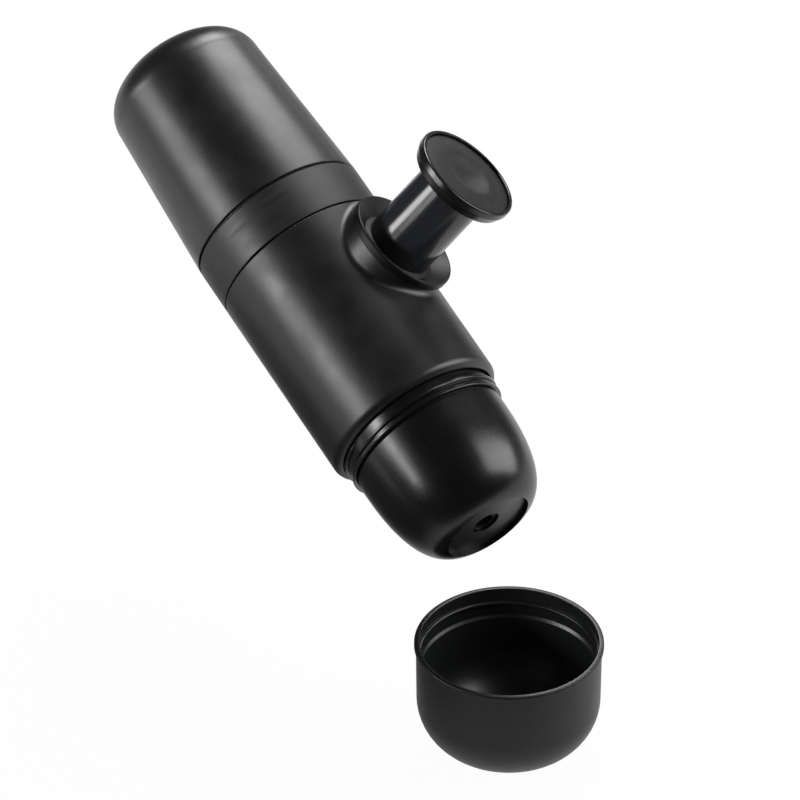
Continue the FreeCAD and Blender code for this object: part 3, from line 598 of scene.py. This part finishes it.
@dataclass(frozen=True)
class StainlessSteel:
    """Stainless steel, drawn, rolled or ground: fine parallel scratches in its grain's direction.

    Attributes:
        name: how the steel was worked.
        colour: its colour.
        roughness: its mean roughness.
        smoother: how much smoother than that it is beside the scratches.
        rougher: how much rougher it is on them.
        scratch_mm: distance between scratches; drawn as coarse as shows.
        run: how many times longer than wide a scratch is, round the maker's axis.
        scratch_depth_mm: depth of a scratch.
    """

    name: str
    colour: str
    roughness: float
    smoother: float = 0.05
    rougher: float = 0.08
    scratch_mm: float = 0.3
    run: float = 20.0
    scratch_depth_mm: float = 0.004

    def build(self) -> Finish:
        """Makes the material.

        Returns:
            The material.
        """
        material, tree = fresh_material(self.name)
        place = held_coordinates(tree)
        stretched = add(tree, "ShaderNodeMapping",
                        {"Vector": place, "Scale": (1 / self.run, 1 / self.run, 1.0)}).outputs[0]
        scratches = add(tree, "ShaderNodeTexNoise",
                        {"Vector": stretched, "Scale": 1 / (self.scratch_mm * MM), "Detail": 3.0})
        rough = add(tree, "ShaderNodeMapRange",
                    {"Value": scratches.outputs[0], **NOISE_SPAN,
                     "To Min": self.roughness - self.smoother,
                     "To Max": self.roughness + self.rougher})
        bump = add(tree, "ShaderNodeBump",
                   {"Height": scratches.outputs[0], "Strength": 1.0,
                    "Distance": self.scratch_depth_mm * MM})
        shader = add(tree, "ShaderNodeBsdfPrincipled",
                     {"Base Color": linear(self.colour), "Metallic": 1.0,
                      "Roughness": rough.outputs[0], "Normal": bump.outputs[0]})
        add(tree, "ShaderNodeOutputMaterial", {"Surface": shader.outputs[0]})
        return material


def made(recipe: type, *look: Any, **more: Any) -> Any:
    """Gives a field that makes its material when the finishes are made.

    Args:
        recipe: the kind of material, one of the classes above.
        look: its name, colour and roughness.
        more: what else differs from that kind's usual look.

    Returns:
        The field.
    """
    return field(default_factory=lambda: recipe(*look, **more).build())


@dataclass
class Finishes:
    """Every finish of the maker, built once and shared."""

    # A soft broad highlight along its length, broken up by the grain.
    shell: Finish = made(MouldedPlastic, "satin moulded ABS shell", "#101012", 0.39)
    # As the shell, a shade smoother.
    tank: Finish = made(MouldedPlastic, "satin moulded tank plastic", "#121214", 0.37,
        patchiness=0.04)
    # Duller than its neighbours, with fine streaks round the maker.
    band: Finish = made(MouldedPlastic, "matt moulded collar plastic", "#151517", 0.47,
        patchiness=0.07, patch_mm=2.2, grain_depth_mm=0.004, drag=9.0)
    # A narrow bright streak on near black: the most polished of the large pieces.
    head: Finish = made(MouldedPlastic, "semi-gloss moulded head plastic", "#080809",
        0.285, patchiness=0.03, grain_depth_mm=0.003, ior=1.5)
    # A grey that fades evenly into black, duller than the head round it.
    recess: Finish = made(MouldedPlastic, "satin moulded outlet recess", "#1c1c1e",
        0.38, ior=1.6, grain_depth_mm=0.003)
    # A bright streak, as on the head.
    neck: Finish = made(MouldedPlastic, "semi-gloss moulded neck plastic", "#0c0c0d",
        0.24, patchiness=0.04, grain_depth_mm=0.002)
    # Nearly black in its recess, with hardly a highlight.
    gland: Finish = made(MouldedPlastic, "satin moulded gland plastic", "#060607", 0.45,
        ior=1.33, grain_depth_mm=0.004)
    # A hard bright line along the tube.
    sleeve: Finish = made(MouldedPlastic, "polished moulded sleeve", "#26272a", 0.17,
        patchiness=0.02, grain_mm=0.8, grain_depth_mm=0.0006, ior=1.55)
    # Glossy edges and a clear line on the tapered back.
    knob: Finish = made(MouldedPlastic, "gloss moulded knob", "#0e0e10", 0.24,
        patchiness=0.03, grain_depth_mm=0.0015, ior=1.52)
    # A soft sheen that fades towards the sides.
    cup: Finish = made(MouldedPlastic, "satin moulded cup plastic", "#121214", 0.44,
        patchiness=0.03, grain_depth_mm=0.004, ior=1.38)
    # Smoother than the outside, so that the far wall shows light.
    cup_bowl: Finish = made(MouldedPlastic, "satin moulded cup bowl", "#1a1d1b", 0.34,
        patchiness=0.03, grain_mm=0.8, grain_depth_mm=0.001)
    # Dark grey with a dull, cloudy skin.
    inner: Finish = made(MouldedPlastic, "glass-filled nylon frame", "#26272a", 0.5,
        patchiness=0.06)
    # Off-white and waxy.
    bush: Finish = made(MouldedPlastic, "acetal bush", "#c9c7bf", 0.34, patchiness=0.04,
        grain_depth_mm=0.002)
    # A small dark satin ring.
    spout: Finish = made(MouldedPlastic, "satin moulded spout", "#121214", 0.36,
        grain_depth_mm=0.003)
    # Dark grey and matt: it shows no highlight, only a soft fall of light.
    pad: Finish = made(CastRubber, "soft-touch rubber inlay", "#131316", 0.5, ior=1.44,
        sheen=0.0)
    # A black line without gloss.
    seal: Finish = made(CastRubber, "black silicone seal", "#0a0a0b", 0.55)
    # Mid grey and matt.
    valve: Finish = made(CastRubber, "grey silicone valve", "#6c6d6e", 0.5)
    # Bright, with fine scratches along the wire or round the turned face.
    steel: Finish = made(StainlessSteel, "drawn stainless steel", "#b9babb", 0.25)
    # Bright and a little duller, with the marks of the rollers.
    screen: Finish = made(StainlessSteel, "rolled stainless screen", "#b2b3b4", 0.33,
        run=6.0)


# ---------------------------------------------------------------- sub-assemblies


@dataclass
class Part:
    """A sub-assembly of the maker.

    Attributes:
        frame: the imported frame.
        finishes: the shared finishes.
    """

    frame: dict
    finishes: Finishes

    def dress(self, **looks: Finish) -> None:
        """Dresses CAD nodes.

        Args:
            looks: each node's finish, by the node's name.
        """
        for node, finish in looks.items():
            mesh = self.frame["nodes"][node].data
            mesh.materials.clear()
            mesh.materials.append(finish)
            LOG.info("dressed %s in %s", node, finish.name)


@dataclass
class ScrewedPart(Part):
    """A part that is joined by a screw thread: it adds the thread's ridge to its wall."""

    def add_thread(self, name: str, thread: Thread, body: Body, slot: str,
                   finish: Finish) -> None:
        """Adds a thread in the maker's frame.

        Args:
            name: the piece's name.
            thread: the ridge.
            body: the body it rides on.
            slot: the record's material slot; not used.
            finish: its material.
        """
        points, faces = thread.mesh()
        make_piece(name, HELD.place(points), faces, body, [finish])


@dataclass
class WaterTank(ScrewedPart):
    """The tapered tank with its gasket, and the neck that screws into the collar.

    Attributes:
        neck_r: the neck's outer radius.
    """

    neck_r: float = 26.7

    def build(self) -> None:
        """Adds the neck's thread and dresses the tank."""
        thread = Thread(self.neck_r, RIDGE_H, width=1.6, start=TANK_THREAD, lead=TANK_LEAD,
                        turns=1.15, begin=40)
        self.add_thread("tank_neck_thread", thread, Body.TANK, "tank_plastic", self.finishes.tank)
        self.dress(water_tank=self.finishes.tank, tank_gasket=self.finishes.seal)


@dataclass
class Housing(ScrewedPart):
    """The long shell with its side boss, the smooth collar above it and the frame inside.

    Attributes:
        collar_bore: the collar's inner radius.
    """

    collar_bore: float = 27.0

    def build(self) -> None:
        """Adds the collar's thread, half a turn on from the neck's, and dresses the rest."""
        thread = Thread(self.collar_bore, RIDGE_H, width=1.6, start=TANK_THREAD, lead=TANK_LEAD,
                        turns=1.1, side=Side.INSIDE, begin=220)
        self.add_thread("collar_thread", thread, Body.MAIN, "collar_plastic", self.finishes.band)
        looks = self.finishes
        self.dress(main_housing=looks.shell, tank_collar=looks.band, pump_frame=looks.inner,
                   frame_seal=looks.seal, inlet_strainer=looks.screen, vent_valve=looks.valve,
                   tie_screws=looks.steel)


@dataclass
class HandPump(Part):
    """The pump: barrel, valves, gland and the piston that the hand presses.

    Attributes:
        spring_foot: distance of the return spring's foot from the maker's axis.
        spring_tip: distance of its tip while the piston is out.
        valve_x: where the valves' axis stands, behind the maker's axis.
        valve_feet: level of each valve spring's foot, by the valve's name.
        valve_spring: a valve spring's length.
    """

    spring_foot: float = 13.55
    spring_tip: float = 54.85
    valve_x: float = -22.8
    valve_feet: tuple[tuple[str, float], ...] = (("inlet", 93.25), ("outlet", 77.25))
    valve_spring: float = 5.67

    def springs(self) -> list[CoilSpring]:
        """Sizes the springs.

        Returns:
            The return spring, in line with the pump, and the two upright valve springs.
        """
        listed = [CoilSpring("piston_spring", "piston_stroke", (self.spring_foot, 0, PUMP_LEVEL),
                             (self.spring_tip, 0, PUMP_LEVEL), radius=7.4, wire=1.2, turns=9,
                             travel=25.5)]
        for valve, foot in self.valve_feet:
            listed.append(CoilSpring(f"{valve}_spring", f"{valve}_valve", (self.valve_x, 0, foot),
                                     (self.valve_x, 0, foot + self.valve_spring), radius=1.178,
                                     wire=0.35, turns=5, travel=1.2))
        return listed

    def add_spring(self, spring: CoilSpring) -> None:
        """Winds a spring in the place of its CAD node.

        Args:
            spring: the spring.
        """
        points, faces = spring.mesh()
        piece = make_piece(spring.node + "_wire", HELD.place(points), faces, Body.MAIN,
                           [self.finishes.steel])
        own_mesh(piece)
        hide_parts(spring.node)

    def build(self) -> None:
        """Winds the springs and dresses the pump's other pieces."""
        for spring in self.springs():
            self.add_spring(spring)
        looks = self.finishes
        self.dress(piston_collar=looks.gland, rod_bush=looks.bush, wiper_seal=looks.seal,
                   piston_sleeve=looks.sleeve, plunger=looks.inner, plunger_seal=looks.seal,
                   knob=looks.knob, knob_screw=looks.steel, pump_barrel=looks.inner,
                   valve_block=looks.inner, inlet_valve_seat=looks.bush, inlet_ball=looks.steel,
                   outlet_ball=looks.steel, outlet_retainer=looks.bush)


@dataclass
class ThumbPad(Part):
    """The knob's soft inlay: a crowned face with a round dimple, in millimetres.

    Attributes:
        back: distance of its back from the maker's axis, along the pump.
        crown: distance of its highest ring.
        radius: its outer radius.
        edge_fall: how much lower its edge is than the crown.
        edge_round: rounding of that edge.
        back_round: rounding of its back.
        dimple_r: radius of the highest ring, where the dimple begins.
        dimple: the dimple's depth.
    """

    back: float = 63.95
    crown: float = 66.6
    radius: float = 16.5
    edge_fall: float = 0.75
    edge_round: float = 0.25
    back_round: float = 0.15
    dimple_r: float = 9.0
    dimple: float = 1.7

    def face(self) -> Array:
        """Works out the face from its edge to its middle.

        Outside the dimple the height is crown - edge_fall * s squared, where s goes from 0 on
        the ring to 1 at the edge. Inside it is crown - dimple * (1 - (r / dimple_r) squared) to
        the power 1.5, which is steepest at 0.7 of the dimple's radius and level in the middle.

        Returns:
            Radius and height of each point.
        """
        outer_points, inner_points, steepness = 28, 40, 1.5
        outer = np.linspace(self.radius - self.edge_round, self.dimple_r, outer_points)
        share = (outer - self.dimple_r) / (self.radius - self.dimple_r)
        inner = np.linspace(self.dimple_r, 0, inner_points)[1:]
        bowl = (1 - (inner / self.dimple_r) ** 2) ** steepness
        return np.vstack([np.stack([outer, self.crown - self.edge_fall * share ** 2], -1),
                          np.stack([inner, self.crown - self.dimple * bowl], -1)])

    def build(self) -> None:
        """Turns the pad and lays it on the pump's axis, which points along the upright x."""
        face = self.face()
        side = rounded_profile([(0, self.back, 0), (self.radius, self.back, self.back_round),
                                (self.radius, face[0, 1], self.edge_round), tuple(face[1]) + (0,)])
        points, faces = lathe(np.vstack([side[:-1], face[1:]]))
        upright = points[:, [2, 0, 1]] + np.array([0, 0, PUMP_LEVEL])
        pad = make_piece("thumb_pad", HELD.place(upright), faces, Body.PISTON,
                         [self.finishes.pad])
        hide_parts("knob_pad")


@dataclass
class GroupHead(ScrewedPart):
    """The neck under the housing: the cup screws on outside it, the outlet head inside it.

    Attributes:
        neck_r: the neck's outer radius.
        socket_r: its inner radius.
    """

    neck_r: float = 27.0
    socket_r: float = 24.6

    def build(self) -> None:
        """Adds the threads and dresses the group head."""
        looks = self.finishes
        cap = Thread(self.neck_r, height=0.85, width=1.15, start=HEAD_THREAD, lead=CAP_LEAD,
                     turns=1.05, begin=-120, fade=0.04)
        self.add_thread("cap_thread", cap, Body.MAIN, "neck_plastic", looks.neck)
        for name, begin in (("socket_thread_a", 90), ("socket_thread_b", 270)):
            start = Thread(self.socket_r, RIDGE_H, width=1.4, start=HEAD_THREAD, lead=HEAD_LEAD,
                           turns=0.5, side=Side.INSIDE, begin=begin)
            self.add_thread(name, start, Body.MAIN, "neck_plastic", looks.neck)
        self.dress(group_head=looks.neck, group_gasket=looks.seal, shower_screen=looks.screen,
                   screen_screw=looks.steel)


@dataclass
class OutletHead(ScrewedPart):
    """The rounded head that screws into the group head, with its spout and the basket in it.

    Attributes:
        neck_r: its neck's outer radius.
        recess_r: radius of the recess round the outlet.
        recess_h: level of the recess's floor.
    """

    neck_r: float = 24.3
    recess_r: float = 14.8
    recess_h: float = 1.9

    def dress_recess(self) -> None:
        """Gives the floor of the recess, which isn't polished as the head is, its own finish."""
        near = 0.05
        node = self.frame["nodes"]["outlet_head"]
        centres = np.array([node.matrix_world @ face.center for face in node.data.polygons]) / MM
        upright = (centres - np.array(HELD.outlet)) @ HELD.matrix()
        inside = np.hypot(upright[:, 0], upright[:, 1]) < self.recess_r
        recessed = inside & (np.abs(upright[:, 2] - self.recess_h) < near)
        node.data.materials.append(self.finishes.recess)
        node.data.polygons.foreach_set("material_index", recessed.astype(np.int32))
        LOG.info("dressed %d faces of the recess", recessed.sum())

    def build(self) -> None:
        """Adds the neck's two-start thread and dresses the head and what it holds."""
        looks = self.finishes
        for name, begin in (("head_thread_a", 0), ("head_thread_b", 180)):
            start = Thread(self.neck_r, RIDGE_H, width=1.4, start=HEAD_THREAD, lead=HEAD_LEAD,
                           turns=0.5, begin=begin)
            self.add_thread(name, start, Body.HEAD, "head_plastic", looks.head)
        self.dress(outlet_head=looks.head, spout_insert=looks.spout, head_seal=looks.seal,
                   filter_basket=looks.steel, basket_screen=looks.screen)
        self.dress_recess()


@dataclass
class DrinkingCup(Part):
    """The cup that is also the cap, in millimetres, with its foot at the origin.

    Attributes:
        height: from foot to rim.
        foot_r: where the wall would meet the foot.
        top_r: outer radius under the lip.
        lip_r: outer radius of the lip.
        lip_h: the lip's height.
        rounding: radius between wall and foot.
        wall: the wall's thickness.
        mouth_wall: its thickness beside the cap thread.
        mouth_h: how far down the thread's relief goes.
        relief_step: height of the slope between relief and wall.
        rim_round: rounding of the rim's two edges.
        edge_round: rounding of the smaller edges.
        thread_down: how far under the rim its thread begins.
        segments: parts of a full turn.
    """

    height: float = 39.2
    foot_r: float = 29.2
    top_r: float = 29.6
    lip_r: float = 30.2
    lip_h: float = 1.7
    rounding: float = 18.0
    wall: float = 1.8
    mouth_wall: float = 1.1
    mouth_h: float = 10.0
    relief_step: float = 1.0
    rim_round: float = 0.6
    edge_round: float = 0.3
    thread_down: float = 6.6
    segments: int = 192

    def build(self) -> None:
        """Turns the cup's skin, satin outside and smoother inside, and adds its thread."""
        arc_steps = 16
        top, edge = self.height, self.edge_round
        lip, relief = top - self.lip_h, top - self.mouth_h
        mouth, bore = self.top_r - self.mouth_wall, self.top_r - self.wall
        rim = (mouth + self.rim_round, top, 0)
        outside = rounded_profile([(0, 0, 0), (self.foot_r, 0, self.rounding),
                                   (self.top_r, lip, edge / 2), (self.lip_r, lip, edge),
                                   (self.lip_r, top, self.rim_round), rim], arc_steps)
        inside = rounded_profile([rim, (mouth, top, edge), (mouth, relief, edge),
                                  (bore, relief - self.relief_step, edge),
                                  (self.foot_r - self.wall, self.wall, self.rounding - self.wall),
                                  (0, self.wall, 0)], arc_steps)
        profile = np.vstack([outside, inside[1:]])
        points, faces = lathe(profile, self.segments)
        rows = (len(faces) - 2 * self.segments) // self.segments
        outer_rows = len(outside) - 2
        skirt = np.repeat(np.arange(rows) >= outer_rows, self.segments)
        foot = np.repeat([False, True], self.segments)
        cup = make_piece("cup_shell", points, faces, Body.CUP,
                         [self.finishes.cup, self.finishes.cup_bowl], np.concatenate([skirt, foot]))
        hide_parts("drinking_cup")
        thread = Thread(mouth, height=0.75, width=1.3, start=top - self.thread_down, lead=CAP_LEAD,
                        turns=1.2, side=Side.INSIDE, begin=20)
        ridge, ridge_faces = thread.mesh()
        make_piece("cup_thread", ridge, ridge_faces, Body.CUP, [self.finishes.cup_bowl])


# ---------------------------------------------------------------- studio


def stand(name: str, data: bpy.types.ID, axes: Sequence[Vector], place: Vector) -> bpy.types.Object:
    """Stands a lamp or a camera in the scene.

    Args:
        name: its name.
        data: the lamp or the camera.
        axes: the directions of its own x, y and z.
        place: where it is, in metres.

    Returns:
        The object.
    """
    placed = bpy.data.objects.new(name, data)
    bpy.context.scene.collection.objects.link(placed)
    placed.matrix_world = Matrix((*zip(*axes, place), (0.0, 0.0, 0.0, 1.0)))
    return placed


@dataclass(frozen=True)
class Softbox:
    """A soft lamp: a glowing strip that stands parallel to the maker's axis.

    Attributes:
        name: its name.
        turn: degrees round the maker's axis, from the side that faces the camera.
        off: distance from the axis, in millimetres.
        low: level of its lower end along the axis, from the outlet, in millimetres.
        high: level of its upper end.
        width: its width, in millimetres.
        watts: its power.
    """

    name: str
    turn: float
    off: float
    low: float
    high: float
    width: float
    watts: float

    def build(self, outlet: Vector, axis: Vector, front: Vector) -> None:
        """Hangs the strip so that it faces the maker's axis.

        Args:
            outlet: the maker's outlet end, in millimetres.
            axis: the direction from there to the tank.
            front: the direction from the axis to the camera's side.
        """
        angle = math.radians(self.turn)
        back = front * math.cos(angle) + axis.cross(front) * math.sin(angle)
        place = (outlet + axis * (self.low + self.high) / 2 + back * self.off) * MM
        lamp = bpy.data.lights.new(self.name, "AREA")
        lamp.shape = "RECTANGLE"
        lamp.size, lamp.size_y = self.width * MM, (self.high - self.low) * MM
        lamp.energy = self.watts
        stand(self.name, lamp, (axis.cross(back), axis, back), place).visible_camera = False
        LOG.info("hung %s", self.name)


# Each with its name, turn, distance, lower and upper end, width and power.
SOFTBOXES = (
    Softbox("left_softbox", -48.6, 1000.0, 430.0, 760.0, 310.0, 3.7),
    Softbox("low_left_softbox", -46.5, 1000.0, 60.0, 430.0, 120.0, 2.1),
    Softbox("upper_left_softbox", -62.0, 1000.0, 560.0, 860.0, 180.0, 1.5),
    Softbox("right_softbox", 76.0, 600.0, 470.0, 900.0, 560.0, 8.0),
    Softbox("low_right_softbox", 77.0, 900.0, -420.0, 100.0, 880.0, 7.6),
    Softbox("rim_softbox", 128.0, 900.0, 560.0, 900.0, 260.0, 0.33))


@dataclass
class Studio:
    """White floor, white surroundings, softboxes and the camera, a long lens.

    Attributes:
        azimuth: degrees round z, from x to the camera's side.
        elevation: degrees that the camera looks down.
        reach: distance from its aim to the camera, in millimetres.
        pixels_per_mm: pixels that a millimetre has at that distance.
        aim: the point that it is turned to, in millimetres.
        aim_shift: how far it is then moved to its right and upwards.
        sensor: its sensor's width, in millimetres.
        picture: its picture's width, in pixels.
        far: how far it sees, in metres.
    """

    azimuth: float = -35.4
    elevation: float = 34.4
    reach: float = 2300.0
    pixels_per_mm: float = 3.15
    aim: tuple[float, float, float] = (0.0, 0.0, 37.7)
    aim_shift: tuple[float, float] = (-34.61, 77.77)
    sensor: float = 36.0
    picture: int = 800
    far: float = 50.0

    def build(self) -> None:
        """Sets the stage."""
        self.add_camera()
        self.add_floor()
        self.add_world()
        axis = Vector(HELD.matrix()[:, 2].tolist())
        view = self.view_direction()
        front = (view - axis * view.dot(axis)).normalized()
        for lamp in SOFTBOXES:
            lamp.build(Vector(HELD.outlet), axis, front)

    def view_direction(self) -> Vector:
        """Gives the direction from the object to the camera."""
        a, e = math.radians(self.azimuth), math.radians(self.elevation)
        return Vector((math.cos(e) * math.cos(a), math.cos(e) * math.sin(a), math.sin(e)))

    def add_camera(self) -> None:
        """Aims the camera; its focal length is pixels_per_mm * reach * sensor / picture."""
        back = self.view_direction()
        right = Vector((0.0, 0.0, 1.0)).cross(back).normalized()
        up = back.cross(right)
        aim = Vector(self.aim) + right * self.aim_shift[0] + up * self.aim_shift[1]
        camera = bpy.data.cameras.new("camera")
        camera.sensor_width = self.sensor
        camera.lens = self.pixels_per_mm * self.reach / self.picture * self.sensor
        camera.clip_end = self.far
        bpy.context.scene.camera = stand("camera", camera, (right, up, back),
                                         (aim + back * self.reach) * MM)

    def floor_material(self) -> Finish:
        """Makes the floor's material: white for the camera, with painted shade in what mirrors it.

        A mirroring surface sees the floor lit by as much as three shares multiplied, each of them
        painted shade: a painted shadow that lifts away from the middle of a patch under the maker,
        painted shade that lifts towards the back and a painted fall of light with the distance from
        the cup, all in metres.

        Returns:
            The material.
        """
        # painted shadow of the maker on the floor, seen only in reflections: its middle and the
        # distances over which it lifts; then painted shade towards the camera's side and a painted
        # fall of light far from the cup
        painted_shadow_middle, painted_shadow_edge, whole = (-0.14, -0.15, 0.0), (0.12, 0.23), (0.0, 1.0)
        cup, at_back, far_off, far_share = (0.0, 0.0, 0.0), (-0.16, -0.03), (0.6, 1.2), (1.0, 0.2)
        dark, pale, glowing = 0.1, 0.86, 0.97
        material, tree = fresh_material("white studio floor")
        rays = add(tree, "ShaderNodeLightPath").outputs
        place = add(tree, "ShaderNodeTexCoord").outputs["Object"]
        lit = 1.0
        for measure, point, span, share in (("DISTANCE", painted_shadow_middle, painted_shadow_edge, whole),
                                            ("DOT_PRODUCT", TO_THE_BACK, at_back, whole),
                                            ("DISTANCE", cup, far_off, far_share)):
            length = add(tree, "ShaderNodeVectorMath", {0: place, 1: point}, operation=measure)
            light = add(tree, "ShaderNodeMapRange",
                        {"Value": length.outputs["Value"], "From Min": span[0], "From Max": span[1],
                         "To Min": share[0], "To Max": share[1]}, **SMOOTH).outputs[0]
            lit = add(tree, "ShaderNodeMath", {0: lit, 1: light}, operation="MULTIPLY").outputs[0]
        mirrored = add(tree, "ShaderNodeMath", {0: rays["Is Glossy Ray"], 1: lit},
                       operation="MULTIPLY").outputs[0]
        plain = rays["Is Camera Ray"]
        for other in (rays["Is Transmission Ray"], mirrored):
            plain = add(tree, "ShaderNodeMath", {0: plain, 1: other}, operation="MAXIMUM").outputs[0]
        # the floor's painted shade in reflections, from the deepest painted shadow (dark) to unshaded
        # (pale)
        shade = add(tree, "ShaderNodeMapRange", {"Value": lit, "To Min": dark, "To Max": pale})
        factor, first, second = 0, 2, 3
        seen = add(tree, "ShaderNodeMix",
                   {factor: rays["Is Glossy Ray"], first: pale, second: shade.outputs[0]})
        matt = add(tree, "ShaderNodeBsdfDiffuse", {"Color": seen.outputs[0]})
        glow = add(tree, "ShaderNodeEmission", {"Color": (1.0, 1.0, 1.0, 1.0), "Strength": 1.0})
        white = add(tree, "ShaderNodeMath", {0: plain, 1: glowing}, operation="MULTIPLY")
        both = add(tree, "ShaderNodeMixShader",
                   {0: white.outputs[0], 1: matt.outputs[0], 2: glow.outputs[0]})
        add(tree, "ShaderNodeOutputMaterial", {"Surface": both.outputs[0]})
        return material

    def add_floor(self) -> None:
        """Lays a white floor, a little under the cup's foot, that keeps the object's shadow."""
        half, under = 8.0, 0.0002
        mesh = bpy.data.meshes.new("floor")
        mesh.from_pydata([(-half, -half, 0), (half, -half, 0), (half, half, 0), (-half, half, 0)],
                         [], [(0, 1, 2, 3)])
        mesh.materials.append(self.floor_material())
        floor = bpy.data.objects.new("floor", mesh)
        bpy.context.scene.collection.objects.link(floor)
        floor.location.z = -under

    def add_world(self) -> None:
        """Surrounds the object with white for the camera and a dark ceiling in reflections.

        A mirroring surface sees the room's light fall from the back to the camera's side, and
        from floor level to the ceiling.
        """
        back_light, front_light, ceiling_light = 0.3, 0.1, 0.05
        to_front, to_ceiling = (0.1, 0.6), (-0.05, 0.18)
        world = bpy.data.worlds.new("studio")
        bpy.context.scene.world = world
        world.use_nodes = True
        tree = world.node_tree
        tree.nodes.clear()
        rays = add(tree, "ShaderNodeLightPath").outputs
        way = add(tree, "ShaderNodeTexCoord").outputs["Generated"]
        height = add(tree, "ShaderNodeSeparateXYZ", {0: way}).outputs["Z"]
        front = add(tree, "ShaderNodeVectorMath", {0: way, 1: TOWARDS_CAMERA},
                    operation="DOT_PRODUCT").outputs["Value"]
        horizon = add(tree, "ShaderNodeMapRange",
                      {"Value": front, "From Min": to_front[0], "From Max": to_front[1],
                       "To Min": back_light, "To Max": front_light}, **SMOOTH).outputs[0]
        white = add(tree, "ShaderNodeMapRange",
                    {"Value": height, "From Min": to_ceiling[0], "From Max": to_ceiling[1],
                     "To Min": horizon, "To Max": ceiling_light}, **SMOOTH).outputs[0]
        for direct in (rays["Is Camera Ray"], rays["Is Transmission Ray"]):
            white = add(tree, "ShaderNodeMath", {0: white, 1: direct}, operation="MAXIMUM").outputs[0]
        sky = add(tree, "ShaderNodeBackground", {"Color": (1.0, 1.0, 1.0, 1.0), "Strength": white})
        add(tree, "ShaderNodeOutputWorld", {"Surface": sky.outputs[0]})


def corners(low_high: Any) -> list:
    return [[float(c) for c in corner] for corner in low_high]


def main() -> None:
    """Loads the frame, builds every sub-assembly in order and sets the stage."""
    logging.basicConfig(level=logging.INFO, format="%(name)s: %(message)s")
    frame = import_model()
    bpy.context.scene.view_settings.view_transform = "Standard"
    finishes = Finishes()
    for part in (WaterTank, Housing, HandPump, ThumbPad, GroupHead, OutletHead, DrinkingCup):
        part(frame, finishes).build()
        LOG.info("finished %s", part.__name__)
    Studio().build()


if __name__ == "__main__":
    main()
